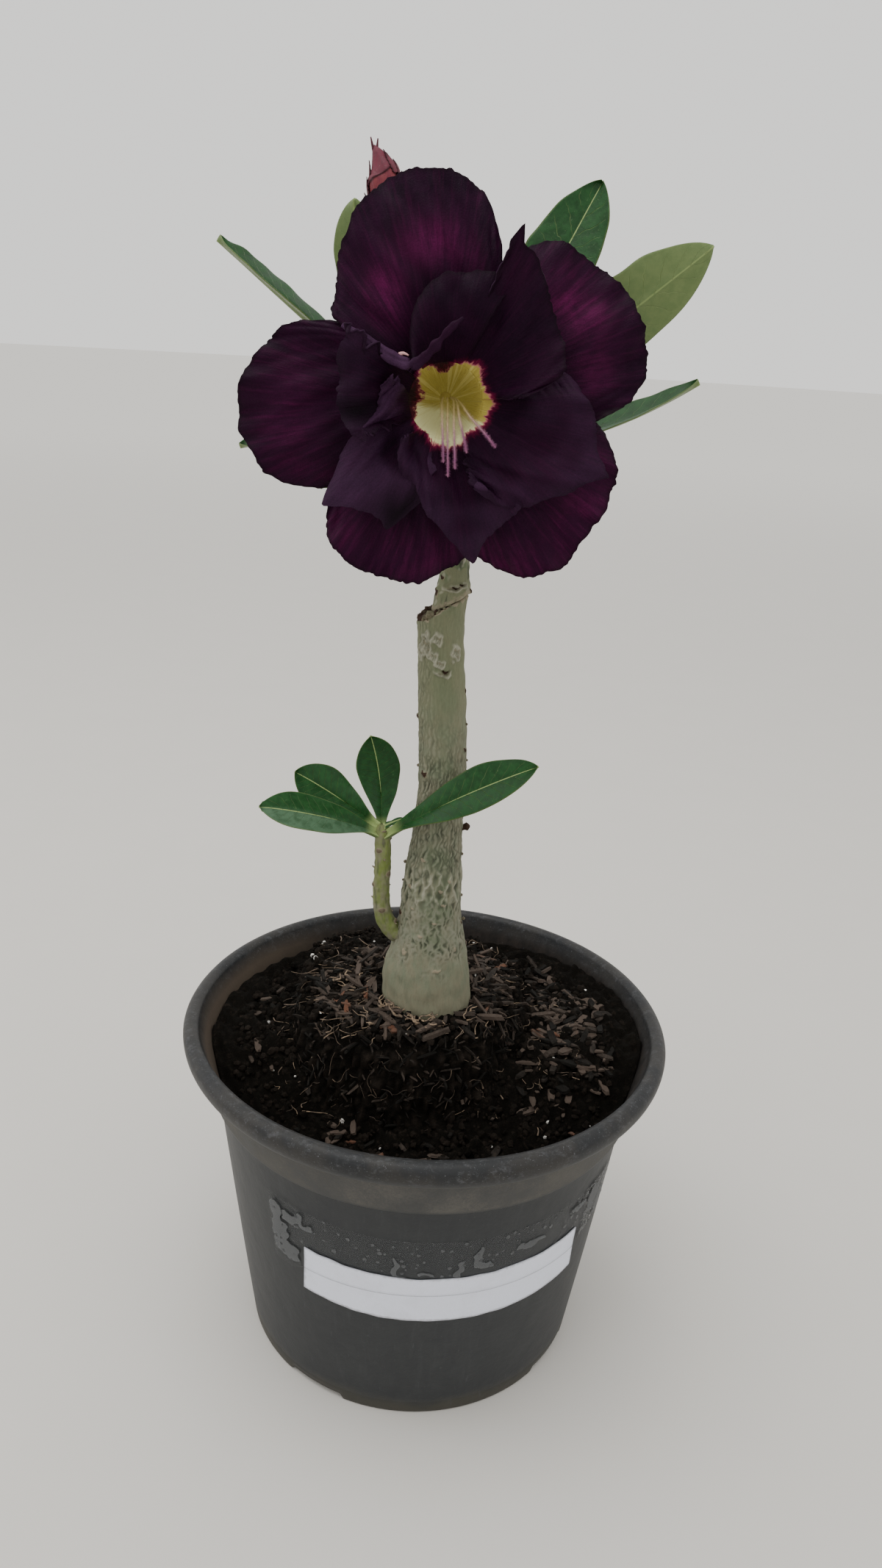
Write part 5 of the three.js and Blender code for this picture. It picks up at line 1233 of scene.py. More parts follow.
def make_scion(s):
    """Rings from the cut to the crown of leaves, with ring-like leaf scars and slots just above the graft."""
    v, w = grid_of(220, 120)
    a = TAU * w
    low = cut_level(GRAFT["scion_x"] + GRAFT["scion_radius"] * np.cos(a)) + GRAFT["gap"]
    z = low + (SCION[-1][0] - low) * v
    cx, cy, r = by_level(SCION, z)
    here = polar(r, a, z)
    bearing = np.degrees(a) + 90
    slots = [(about, low.min() + up, wide, high, "hole") for about, up, wide, high in SLOTS]
    scar, dark, rise, pale = marks_on(bearing, z, r, slots + SCION_MARKS)
    furrow = ease(ripples(here * vec(1.6, 1.6, 0.3), 3.0, 61), 0.7, 1.5) * 0.8
    base = ease(z - low, 3.0, 0.5)
    r = r + rise - 0.2 * furrow + 0.1 * ripples(here, 3, 62) + 0.35 * base
    shape = Shape().tube(polar(r, a, z, cx, cy), furrow=furrow,
                         green=ease(ripples(here, 4, 66), 0.1, 0.9) * ease(z - low, 5, 9),
                         ridge=np.maximum(pale, 0.7 * ease(ripples(here, 2.6, 67), 0.5, 1.3)),
                         scar=np.maximum(scar, 0.5 * base), dark=dark)
    shape.object("scion_bark", "bark", bark_finish(s, "Smooth olive bark", s.bark), ["scion_stem"])


def make_callus(s):
    """Corky lumps along the edge of the cut, where the scion has grown on."""
    draw = np.random.default_rng(71)
    a = np.radians(np.linspace(62, 298, 46))
    x = GRAFT["trunk_x"] + GRAFT["callus_radius"] * np.cos(a)
    y = GRAFT["callus_radius"] * np.sin(a)
    at = stack(x, y, cut_level(x) - 0.1)
    at += draw.normal(scale=0.25, size=at.shape)
    points, faces = pebble()
    rust = ease(x, -2.0, -5.5) * 1.1
    lumps = Shape().scatter(points, faces, at, draw.uniform(0.3, 0.6, len(at)) + 0.7 * rust, 72, scar=0.4,
                            dark=draw.uniform(0.1, 0.7, len(at)) + 0.35 * rust)
    lumps.object("graft_callus", "bark", bark_finish(s, "Corky callus", s.furrow))


def make_shoot(s):
    """A bent stem with raised leaf scars, from the trunk to the small crown of leaves."""
    stations = np.array(SHOOT)
    t = np.linspace(0, 1, 150)
    line = through(stations, t)
    path, radius = line[:, :3], line[:, 3:]
    columns = 48
    angle = around(columns)
    here = stack(3 * np.cos(angle) + 0 * radius, 3 * np.sin(angle) + 0 * radius, path[:, 2:] + 0 * angle)
    scar = np.zeros((len(t), columns))
    rise = np.zeros_like(scar)
    for i in range(SHOOT_SCARS["count"]):
        at, about = SHOOT_SCARS["first"] + SHOOT_SCARS["step"] * i, SHOOT_SCARS["turn"] * i
        d = np.hypot(((angle - about + math.pi) % TAU - math.pi) * 2.6 / 1.1, (t[:, None] - at) * 42 / 0.55)
        scar = np.maximum(scar, ease(d, 1.7, 0.7))
        rise += 0.5 * ease(d, 1.3, 0.2)
    furrow = ease(ripples(here * vec(1.5, 1.5, 0.4), 2.6, 64), 0.8, 1.6)
    root = ease(t, 0.16, 0.02)[:, None]
    radius = radius + rise - 0.12 * furrow + 0.07 * ripples(here, 2.4, 65) + 0.5 * root
    shape = Shape().tube(rings_about(path, radius, columns), scar=np.maximum(0.9 * scar, 0.45 * root),
                         furrow=furrow * 0.5, ridge=0.0, dark=0.55 * scar)
    draw = np.random.default_rng(66)
    for i in range(9):
        at = path[int(30 + 12.5 * i)]
        about = draw.uniform(0, TAU)
        way = vec(math.cos(about), math.sin(about), draw.uniform(-0.2, 0.5))
        tip = at + way * 2.2 + np.linspace(0, 1.1, 5)[:, None] * way
        shape.tube(rings_about(tip, 0.42 * np.linspace(1, 0.3, 5), 8), scar=0.9, dark=0.4)
    shape.object("side_shoot_bark", "shoot", bark_finish(s, "Young olive bark", s.young), ["side_shoot"])


# ---------------------------------------------------------------- leaves

def leaf_finish(s):
    f = Finish("Glossy fleshy leaf")
    along, across, under = f.value("along"), f.value("across"), f.value("under")
    side = f.calc("ABSOLUTE", across)
    # Side veins leave the midrib at a slant and curve forward.
    slant = f.minus(f.times(along, 15.0), f.times(f.calc("POWER", side, 0.8), 1.7))
    wobble = f.times(f.noise(f.place(), 5, 2), 0.9)
    veins = f.calc("ABSOLUTE", f.calc("SINE", f.times(f.plus(slant, wobble), math.pi)))
    vein = f.times(f.band(veins, 0.13, 0.0), f.band(side, 0.95, 0.6))
    rib = f.band(f.value("from_rib"), f.band(along, 0.0, 1.0, 0.6, 0.22), 0.08)
    mottle = f.noise(f.place(), 2.2, 5, 0.6)
    specks = f.noise(f.place(), 0.5, 2, 0.6)
    base = f.over(
        s.blade,
        (f.band(mottle, 0.3, 0.75), tint(32, 74, 34)),
        (f.times(vein, 0.16), s.midrib),
        (f.band(specks, 0.68, 0.74, 0, 0.22), tint(130, 146, 110)),
        # Painted reflection: pale grey-green over one half of the low leaf, for the bright room mirrored in its gloss.
        (f.times(f.value("bloom"), f.band(mottle, 0.3, 0.6, 0.3, 0.6)), tint(84, 110, 88)),
        (f.band(side, 0.94, 1.0, 0, 0.4), tint(104, 118, 62)),
        (f.times(rib, 0.8), s.midrib),
        (f.band(along, 0.16, 0.03, 0, 0.85), s.midrib))
    back = f.over(
        s.under,
        (f.band(mottle, 0.3, 0.7), tint(92, 110, 68)),
        (f.times(f.larger(f.times(vein, 0.3), rib), 0.45), s.midrib))
    base = f.blend(f.band(under, 0.35, 0.65), base, back)
    relief = f.minus(f.times(mottle, 0.4), f.times(vein, 0.3))
    return f.shade(base, f.band(mottle, 0.3, 0.8, 0.36, 0.5), f.bump(relief, 0.25), {"Specular IOR Level": 0.22})


def leaf_width(t):
    """Half width as a share: a short stalk, an obovate blade and a small drawn-out tip."""
    grown = 0.13 + 0.87 * np.sin(np.clip(t / LEAF["widest"], 0, 1) * math.pi / 2) ** 1.7
    s = np.clip((t - LEAF["widest"]) / (1 - LEAF["widest"]), 0, 1)
    return np.where(t < LEAF["widest"], grown, np.maximum(0.02, (1 - s ** 2.1) ** 0.74))


def leaf_blade(shape, root, bend, tip, face, half, fold, wave, seed, bloom=0.0, blunt=0.0):
    """A blade along a quadratic curve: across it a shallow fold and waves at the edge, with a thick rib below."""
    v, w = grid_of(110, 33)
    t = v * (1.35 - 0.35 * v)
    u = 2 * w - 1
    p0, p1, p2 = vec(*root), vec(*bend), vec(*tip)
    line = (1 - t)[..., None] ** 2 * p0 + (2 * t * (1 - t))[..., None] * p1 + t[..., None] ** 2 * p2
    way = unit((1 - t)[..., None] * (p1 - p0) + t[..., None] * (p2 - p1))
    side = unit(np.cross(way, vec(*face)))
    normal = np.cross(side, way)
    wide = np.maximum(half * leaf_width(t), LEAF["stalk"] * (1 - t))
    wide = np.maximum(wide, half * 0.55 * blunt * ease(t, 0.7, 0.9) * ease(t, 1.001, 0.975))
    rough = ripples(stack(t * np.linalg.norm(p2 - p0), u * 0 + np.sign(u) * 30, 0 * t), 9, 80 + seed)
    wide = wide * (1 + 0.015 * rough * ease(t, 0.1, 0.3))
    edge = wave * np.sin(9 * t + np.where(u > 0, 0, 1.7)) * u ** 2 * np.sin(math.pi * t)
    edge = edge + 0.12 * rough * np.abs(u) ** 3 * ease(t, 0.1, 0.3) * (half > 3)
    groove = -0.25 * np.exp(-(u * wide / 0.7) ** 2) * ease(t, 0.95, 0.6) * ease(t, 0.1, 0.3) * (half > 3)
    lift = fold * half * np.abs(u) + edge + groove
    middle = line + side * (u * wide)[..., None] + normal * lift[..., None]
    rib = 1.5 * np.exp(-(u * wide / 0.9) ** 2) * (1 - t) ** 1.5
    thick = LEAF["thick"] * (1 - 0.55 * np.abs(u) ** 4) * (1 - 0.4 * ease(t, 0.9, 1.0)) + rib * (half > 3)
    middle = middle - normal * (rib * (half > 3) / 2)[..., None]
    shape.sheet(middle, thick, along=t, across=u, from_rib=np.abs(u) * wide, bloom=bloom * ease(-u, -0.25, 0.2))


def make_leaves(s):
    finish = leaf_finish(s)
    for i, (node, leaf) in enumerate(LEAVES.items()):
        low = node == "shoot_leaf_left_low"
        shape = Shape()
        leaf_blade(shape, *leaf, seed=i, bloom=1.0 if low else 0.0, blunt=0.5 if low else 0.0)
        shape.object(node.replace("leaf", "blade"), "leaf", finish, [node])


# ---------------------------------------------------------------- flower

def from_flower(right, up, out):
    """A point from the throat's centre: right, up and out along the flower's axis, which tips up a little."""
    tip = math.radians(FLOWER["tip_up"])
    cx, cy, cz = FLOWER["centre"]
    return stack(cx + right, cy - out * math.cos(tip) + up * math.sin(tip),
                 cz + out * math.sin(tip) + up * math.cos(tip))


def funnel(behind):
    """Inner radius of the corolla's tube at a distance behind its mouth."""
    t = np.clip(behind / (FLOWER["tube"] - 4), 0, 1)
    return FLOWER["mouth"] * ((1 - t) ** 0.75 * 0.8 + 0.2)


def yellow_reach(angle):
    """Reach of the throat's yellow by bearing: the measured values, joined smoothly round the circle."""
    values = np.array([*YELLOW_REACH, YELLOW_REACH[0]])
    return np.interp(angle % TAU, np.linspace(0, TAU, len(values)), values)


def throat_lit_share(r, bearing):
    """0 in the upper part of the throat and 1 in its lower, slightly left part: where it is painted in shade and where
    it is painted lit.
    """
    return ease(-r * np.sin(bearing) - 0.22 * r * np.cos(bearing), 0.4, 4.4)


def petal_finish(s, name, velvet, inner):
    f = Finish(name)
    along, across = f.value("along"), f.value("across")
    glow, slate, under, edge, low = (f.value(k) for k in ("glow", "slate", "under", "edge", "low"))
    grain = f.noise(f.pair(across, f.times(along, 0.12)), 0.5, 4, 0.6)
    rays = f.noise(f.pair(across, f.times(along, 0.06), 7.0), 0.9, 5, 0.7)
    blotch = f.noise(f.place(), 8, 4, 0.6)
    pile = f.noise(f.place(), 0.35, 2, 0.6)
    lit = f.times(glow, f.band(f.plus(f.times(rays, 0.6), f.times(blotch, 0.9)), 0.6, 0.92, 0.2, 1.0))
    base = f.over(
        velvet,
        (f.band(blotch, 0.3, 0.7), tint(27, 7, 27)),
        (f.band(rays, 0.46, 0.75, 0, 0.06 if inner else 0.12), s.magenta),
        (f.times(lit, 0.66), s.magenta),
        (f.band(f.value("margin"), 0.0, 1.2, 0.6, 0.0), tint(22, 8, 20)),
        # Painted velvet sheen in slate on the margins and folds of the inner lobes, and below it the backs' own slate
        # colour.
        (f.times(slate, f.band(grain, 0.2, 0.8, 0.6, 1.0)), s.slate),
        (f.band(under, 0.4, 0.6, 0, 0.35), s.slate),
        (f.band(pile, 0.3, 0.7, 0, 0.22), tint(12, 4, 12)),
        (f.times(f.value("shade"), 0.85), tint(9, 4, 9)),
        (f.value("pale"), tint(196, 150, 150)))
    inputs = {"Specular IOR Level": 0.07}
    if inner:
        wild = f.noise(f.pair(across, f.times(along, 0.5)), 2.2, 5, 0.75)
        teeth = f.noise(f.pair(across, f.times(along, 1.5), 3.0), 6.5, 3, 0.6)
        ragged = f.plus(edge, f.times(f.minus(wild, 0.5), 3.4))
        ragged = f.plus(ragged, f.times(f.minus(teeth, 0.5), 3.0))
        halo = f.times(f.band(ragged, 2.1, 0.1, 0, 0.75), f.band(blotch, 0.35, 0.62, 0.35, 1.0))
        base = f.over(base, (halo, tint(128, 20, 66)), (f.band(ragged, 0.75, 0.15, 0, 0.7), tint(196, 120, 124)))
        # Painted light and shade of the throat: its upper part shaded olive-yellow with darker streaks, its lower part
        # lit cream, with pale ribs.
        streak = f.noise(f.pair(across, f.times(along, 0.1)), 0.8, 4, 0.7)
        lower = f.band(f.plus(low, f.times(f.minus(streak, 0.5), 1.6)), 0.15, 0.95)
        throat_with_painted_light = f.over(
            s.yellow,
            (lower, s.lit_cream),
            (f.times(f.band(streak, 0.48, 0.72, 0, 0.6), f.band(lower, 1.0, 0.3)), tint(96, 82, 30)))
        ribs = f.noise(f.pair(across, f.times(along, 0.05), 5.0), 3.2, 2, 0.5)
        ribbed = f.times(f.band(ribs, 0.5, 0.68), f.band(lower, 0.0, 1.0, 0.7, 0.25))
        throat_with_painted_light = f.blend(ribbed, throat_with_painted_light, tint(168, 156, 92))
        inside = f.times(f.band(ragged, 0.25, -0.1), f.band(under, 0.6, 0.4))
        base = f.blend(inside, base, throat_with_painted_light)
        # Painted light: the throat's lining and the lobes' feet inside the yellow glow a little, as if light shone
        # through the thin tube.
        inputs["Emission Color"] = base
        inputs["Emission Strength"] = f.times(inside, 0.34)
    normal = f.bump(pile, 0.12, f.bump(grain, 0.10, f.bump(rays, 0.25)))
    return f.shade(base, f.band(grain, 0.3, 0.8, 0.5, 0.7), normal, inputs)


def margin_reach(lobe, w):
    """Reach of the margin at shares of the way between the lobe's sides, with its pointed cusps."""
    reach = through(lobe["reach"], w)
    for at, height, *width in lobe["cusps"]:
        reach = reach + height * np.maximum(0, 1 - np.abs(w - at) / (width[0] if width else LOBE["cusp_width"])) ** 1.5
    return reach


def patches(places, w, t):
    """Strength of the strongest of some soft round patches at shares w of the way and t of the length."""
    found = np.zeros_like(t)
    for gw, gt, dw, dt, strength in places:
        found = np.maximum(found, strength * np.exp(-((w - gw) / dw) ** 2 - ((t - gt) / dt) ** 2))
    return found


def add_lobe(shape, s, lobe, root, root_out, seed):
    """A fan between two bearings: rows run from the tube to the margin. It rises, dips, tilts and waves, its margin
    is crimped by small even ripples, and its edge is finely toothed."""
    v, w = grid_of(LOBE["rows"], LOBE["columns"])
    t = 1 - (1 - v) ** 1.35
    u = 2 * w - 1
    first, last = (math.radians(b) for b in lobe["bearings"])
    middle = (first + last) / 2
    spread = ease(t, -0.35, 0.6)
    fan = first + (last - first) * w
    bearing = middle - math.radians(LOBE["root_spread"]) * u
    bearing = bearing + (fan - bearing) * spread
    for side, way in ((0.0, 1), (1.0, -1)):
        line = stack(30 * t, 70.0 * seed + 9 * side, 0 * t)
        ragged = 0.9 * ripples(line, 5, 230 + seed) + 0.5 * ripples(line, 2.2, 250 + seed)
        bearing = bearing + (lobe.get("ragged", 0.25) * way * s.frill / MM * ragged
                             * ease(np.abs(w - side), 0.16, 0.0) * ease(t, 0.2, 0.45) / 22)
    reach = margin_reach(lobe, w)
    arc = w * abs(last - first) * reach.mean()
    flat = stack(arc, 40.0 * seed, 0 * w)
    crimp = s.frill / MM
    toothed = crimp * (0.55 * np.abs(ripples(flat, 2.4, 90 + seed)) + 0.35 * ripples(flat, 6, 110 + seed) - 0.4)
    r = root + (reach - root) * t + toothed * ease(t, 0.88, 1.0)
    out = root_out * (1 - t) ** 2 + 2 * lobe["rise"] * t * (1 - t) + lobe["end"] * t ** 2
    out = out + (lobe["tilt"] * u + lobe["cup"] * u ** 2) * t
    out = out + lobe["wave"] * t ** 2 * np.sin(TAU * lobe["waves"] * w + 1.9 * seed)
    sheet = stack(arc * (0.4 + 0.6 * t), r, 30.0 * seed)
    out = out + crimp * ripples(flat, 5, 130 + seed) * ease(t, 0.72, 1.0)
    out = out + 0.22 * ripples(sheet * vec(1, 0.12, 1), 5, 150 + seed) * ease(t, 0.1, 0.5)
    out = out + 0.3 * ripples(sheet * vec(1, 0.5, 1), 13, 170 + seed) * ease(t, 0.1, 0.4)
    shade = patches(lobe.get("shade", ()), w, t)
    out = out - 2.2 * shade
    margin = (1 - t) * (reach - root)
    margin = np.minimum(margin, np.minimum(w, 1 - w) * abs(last - first) * r)
    points = from_flower(r * np.cos(bearing), r * np.sin(bearing), out)
    # Painted slate sheen, rising unevenly towards the margin.
    slate = ease(t + 0.12 * ripples(sheet, 9, 210 + seed), *lobe.get("slate_from", (0.35, 1.0)))
    shape.sheet(points, LOBE["thick"] * (1 - 0.6 * ease(t, 0.85, 1)), along=r, across=bearing * ACROSS,
                glow=patches(lobe["glow"], w, t), shade=shade, slate=slate * lobe.get("slate", 0), margin=margin,
                edge=r - yellow_reach(bearing), low=throat_lit_share(r, bearing))


def add_funnel(shape, first, last, grow, wall, closed_to=0.0, lip=()):
    """A wall turned about the flower's axis between two distances behind the mouth: inner face, then outer."""
    behind = np.linspace(first, last, 46)
    inner = stack(funnel(behind) + grow, -behind)
    outer = stack(funnel(behind[::-1]) + grow + wall, -behind[::-1])
    profile = np.concatenate([inner, outer])
    outside = np.repeat([0, 1], 46)
    if closed_to:
        outside = np.repeat([0, 1], (47 + len(lip), 47))
        profile = np.concatenate([[[0.3, -last + 0.2]], inner[::-1], np.reshape(lip, (-1, 2)), outer[::-1],
                                  [[0.3, -last - 0.6]]])
    angle = around(132)
    r = profile[:, :1] + 0 * angle
    out = profile[:, 1:] + 0 * angle
    rings = from_flower(r * np.cos(-angle), r * np.sin(-angle), out)
    values = {"along": r - out, "across": -angle * ACROSS + 0 * r, "low": throat_lit_share(r, -angle), "margin": 9.0 + 0 * r,
              "edge": r - yellow_reach(-angle) - 0.6 + 20 * outside[:, None]}
    if closed_to:
        return shape.tube(rings, **values)
    rings = np.concatenate([rings, rings[:1]])
    values = {k: np.concatenate([v, v[:1]]) for k, v in values.items()}
    return shape.hoop(rings, **values)


def make_outer_corolla(s):
    shape = Shape()
    grow = LINING + TUBE_WALL + 2 * GAP
    add_funnel(shape, 2.2, FLOWER["tube"], grow, TUBE_WALL)
    root = float(funnel(2.2)) + grow + TUBE_WALL / 2
    for i, lobe in enumerate(OUTER_LOBES):
        add_lobe(shape, s, lobe, root, -3.6, i + 4)
    finish = petal_finish(s, "Velvet outer lobes", s.velvet, False)
    shape.object("outer_lobes", "petal", finish, ["outer_corolla"])


def make_inner_corolla(s):
    shape = Shape()
    grow = LINING + GAP
    add_funnel(shape, 0.2, 9.0, grow, TUBE_WALL)
    for i, lobe in enumerate(INNER_LOBES):
        root, root_out = lobe.get("root", (FLOWER["mouth"] + 0.15, 0.15))
        add_lobe(shape, s, lobe, root, root_out, i + 1)
    add_curl(shape)
    dark = tuple(0.75 * c for c in s.velvet)
    shape.object("inner_lobes", "petal", petal_finish(s, "Velvet inner lobes", dark, True), ["inner_corolla"])


def add_curl(shape):
    """The margin of the sixth lobe rolled over: a flattened roll along a smooth line through the rim's stations."""
    t = np.linspace(0, 1, 130)
    rim = through(RIM, t)
    path = from_flower(*rim[:, :3].T)
    angle = around(24)
    here = stack(np.cos(angle) + 0 * t[:, None], np.sin(angle) + 0 * t[:, None], 40 * t[:, None] + 0 * angle)
    lumpy = 1 + (0.04 + 0.14 * ease(t, 0.5, 0.7))[:, None] * ripples(here * vec(0.3, 0.3, 1), 4, 221)
    half = rim[:, 3:] * lumpy * (0.78 + 0.22 * np.cos(angle * 2)) * (0.8 + 0.2 * ease(t, 0.6, 0.4))[:, None]
    lit = (0.5 + 0.4 * ease(ripples(here * vec(0.3, 0.3, 1), 6, 222), -1, 1)) * ease(t, 0.62, 0.42)[:, None] + 0.12
    thread(shape, from_flower(*np.array(LUMP).T), 0.5, 8, 8, pale=1.0, margin=9.0, edge=9.0)
    shape.tube(rings_about(path, half, 24), along=40 * t[:, None] + 0 * angle, across=angle + 0 * t[:, None],
               slate=lit, margin=9.0, edge=9.0)


def make_throat(s):
    shape = Shape()
    lip = [(FLOWER["mouth"] + 0.5, -0.35), (FLOWER["mouth"] + 1.0, -0.5), (FLOWER["mouth"] + 0.9, -0.9)]
    add_funnel(shape, 0.6, FLOWER["tube"] - 8, 0.0, LINING, closed_to=1.0, lip=lip)
    shape.object("throat_lining", "throat", petal_finish(s, "Throat lining", s.velvet, True), ["throat"])


def make_tails(s):
    """The cone of anthers deep in the throat and its five tails, each a bent thread set with fine hairs."""
    shape = Shape()
    core = through(TAIL_CORE, np.linspace(0, 1, 24))
    path = from_flower(*core[:, :3].T)
    shape.tube(rings_about(path, core[:, 3] * 0.7, 20), tone=0.0, deep=1.0)
    draw = np.random.default_rng(91)
    for right, up, out, start in TAILS:
        lean = right - start
        line = through([(start * 0.5, 0.8, -11.5), (start, up * 0.02, -5), (start + 0.3 * lean, up * 0.35, 0.6),
                        (start + 0.7 * lean, up * 0.7, out * 0.75), (right, up, out)], np.linspace(0, 1, 40))
        path = from_flower(*line[:, :3].T)
        t = np.linspace(0, 1, 40)
        pale, deep = ease(t, 0.8, 0.4), 0.85 * ease(t, 0.62, 0.28)
        shape.tube(rings_about(path, 0.24 - 0.1 * t, 10), tone=pale[:, None], deep=deep[:, None])
        count = TAIL_HAIRS["count"]
        step = (draw.uniform(0.2, 1, count) ** 0.8 * 39).astype(int)
        ways = unit(draw.normal(size=(count, 3)))
        hairs(shape, path[step], ways, draw.uniform(0.4, 1.0, count), TAIL_HAIRS["radius"],
              tone=np.repeat(pale[step], 4), deep=np.repeat(deep[step], 4))
    f = Finish("Hairy pink tails")
    mottle = f.noise(f.place(), 1.4, 4, 0.6)
    base = f.over(
        s.pink,
        (f.band(mottle, 0.35, 0.65), tint(148, 96, 122)),
        (f.value("tone"), tint(190, 166, 142)),
        (f.value("deep"), s.yellow))
    # Painted light: the tails glow a little, like the throat's lining.
    finish = f.shade(base, 0.7, f.bump(mottle, 0.1), {"Emission Color": base, "Emission Strength": 0.16})
    shape.object("anther_tail_hairs", "tails", finish, ["anther_tails"])


def make_calyx(s):
    """The flower's stalk and five narrow sepals that clasp the foot of the tube."""
    shape = Shape()
    back = -FLOWER["tube"] - TUBE_WALL
    ends = from_flower(np.zeros(2), np.zeros(2), np.array([back - 2.6, back - 0.8]))
    stalk = through([(-1.6, -4.7, 285.6, 1.5), (-2, -4.9, 287.6, 1.5), (*ends[0], 1.8), (*ends[1], 2.1)],
                    np.linspace(0, 1, 40))
    shape.tube(rings_about(stalk[:, :3], stalk[:, 3], 24), tone=0.3)

    def clasp(d):
        return float(funnel(FLOWER["tube"] - d)) + LINING + 2 * TUBE_WALL + 3 * GAP + 0.6

    outline = [(1.2, -0.7, 0.8), (clasp(0) + 0.2, -0.7, 2.4), (clasp(3) + 0.2, 3, 2.5), (clasp(6.5) + 0.2, 6.5, 1.8),
               (clasp(10) + 0.9, 10.5, 0.25)]
    v, w = grid_of(36, 15)
    row = through(outline, v)
    r, out, half = row[..., 0], row[..., 1], row[..., 2]
    u = 2 * w - 1
    for i in range(5):
        a = TAU * i / 5 + 0.4
        points = from_flower(r * math.cos(a) + half * u * math.sin(a), r * math.sin(a) - half * u * math.cos(a),
                             back + out)
        shape.sheet(points, 0.6 - 0.25 * u ** 2, tone=v)
    f = Finish("Sepals and flower stalk")
    mottle = f.noise(f.place(), 1.5, 4, 0.6)
    base = f.over(
        tint(96, 112, 62),
        (f.band(mottle, 0.3, 0.7), tint(70, 90, 48)),
        (f.band(f.value("tone"), 0.4, 1.0, 0, 0.7), tint(112, 44, 58)))
    finish = f.shade(base, 0.55, f.bump(mottle, 0.15))
    shape.object("sepals", "calyx", finish, ["calyx"])


def make_bud(s):
    """A spindle along the bud's line with spiral pleats, wrapped in pointed scales whose tips stand free."""
    shape = Shape()
    line = through(BUD, np.linspace(0, 1, 150))
    columns = 60
    angle = around(columns)
    t = np.linspace(0, 1, 150)[:, None]
    swell = ease(t, 0.28, 0.42)
    pleat = 1 + 0.045 * swell * np.sin(5 * angle + 5 * t * 2.2) + 0.02 * swell * np.sin(13 * angle + 9 * t)
    x = line[:, :1] + line[:, 3:] * np.cos(angle)
    beyond = line[:, 2:3] - BUD_FOLD["level"] - BUD_FOLD["slope"] * (x - BUD_FOLD["x"])
    wrap = ease(beyond, -0.15, 0.15)
    shape.tube(rings_about(line[:, :3], line[:, 3:] * pleat + 0.22 * wrap * ease(line[:, 3:], 0.3, 1.0), columns),
               tone=swell + 0 * angle, wrap=wrap, seam=np.exp(-(beyond / 0.3) ** 2) * swell)
    axis = unit(line[-1, :3] - line[75, :3])
    east = unit(vec(1, 0, 0) - axis * axis[0])
    north = np.cross(axis, east)
    v, w = grid_of(30, 13)
    u = 2 * w - 1
    for i, (tip, about, half, size, off) in enumerate(BUD_SCALES):
        level = tip - size * (1 - v)
        here = through(BUD, np.interp(level, line[:, 2], t[:, 0]))
        r = here[..., 3] * 1.03 + 0.15 + off * v ** 2
        spread = half * np.sin(np.pi * np.clip(0.35 + 0.65 * v, 0, 1)) ** 0.8 + 0.06
        spread = spread * (1 + 0.07 * np.sign(u) * np.sin(34 * v + i))
        a = math.radians(about - 90) + spread * u / np.maximum(r, 1.4)
        points = here[..., :3] + east * (r * np.cos(a))[..., None] + north * (r * np.sin(a))[..., None]
        shape.sheet(points, 0.32 - 0.12 * v, tone=1.0 + 0 * v, wrap=1.0 + 0 * v,
                    seam=np.maximum(ease(v, 0.6, 1.0), ease(np.abs(u), 0.55, 1.0)) * 0.9)
    for spike in BUD_SPIKES:
        thread(shape, spike, 0.5, 14, 8, tone=1.0, wrap=1.0, seam=0.6)
    f = Finish("Dusty burgundy bud")
    streaks = f.noise(f.place((1, 1, 0.4)), 1.2, 5, 0.7)
    outer = f.blend(f.band(streaks, 0.3, 0.7), tint(128, 62, 66), tint(98, 38, 54))
    inner = f.blend(f.band(streaks, 0.35, 0.7), s.bud, tint(92, 50, 60))
    petals = f.blend(f.value("wrap"), outer, inner)
    base = f.over(
        tint(104, 116, 66),
        (f.value("tone"), petals),
        (f.band(f.noise(f.place(), 0.7, 3, 0.7), 0.58, 0.7, 0, 0.25), tint(140, 104, 108)),
        (f.times(f.value("seam"), 0.85), tint(38, 16, 22)))
    shape.object("bud_scales", "bud", f.shade(base, 0.65, f.bump(streaks, 0.12), {"Specular IOR Level": 0.25}),
                 ["bud"])


# ---------------------------------------------------------------- stage

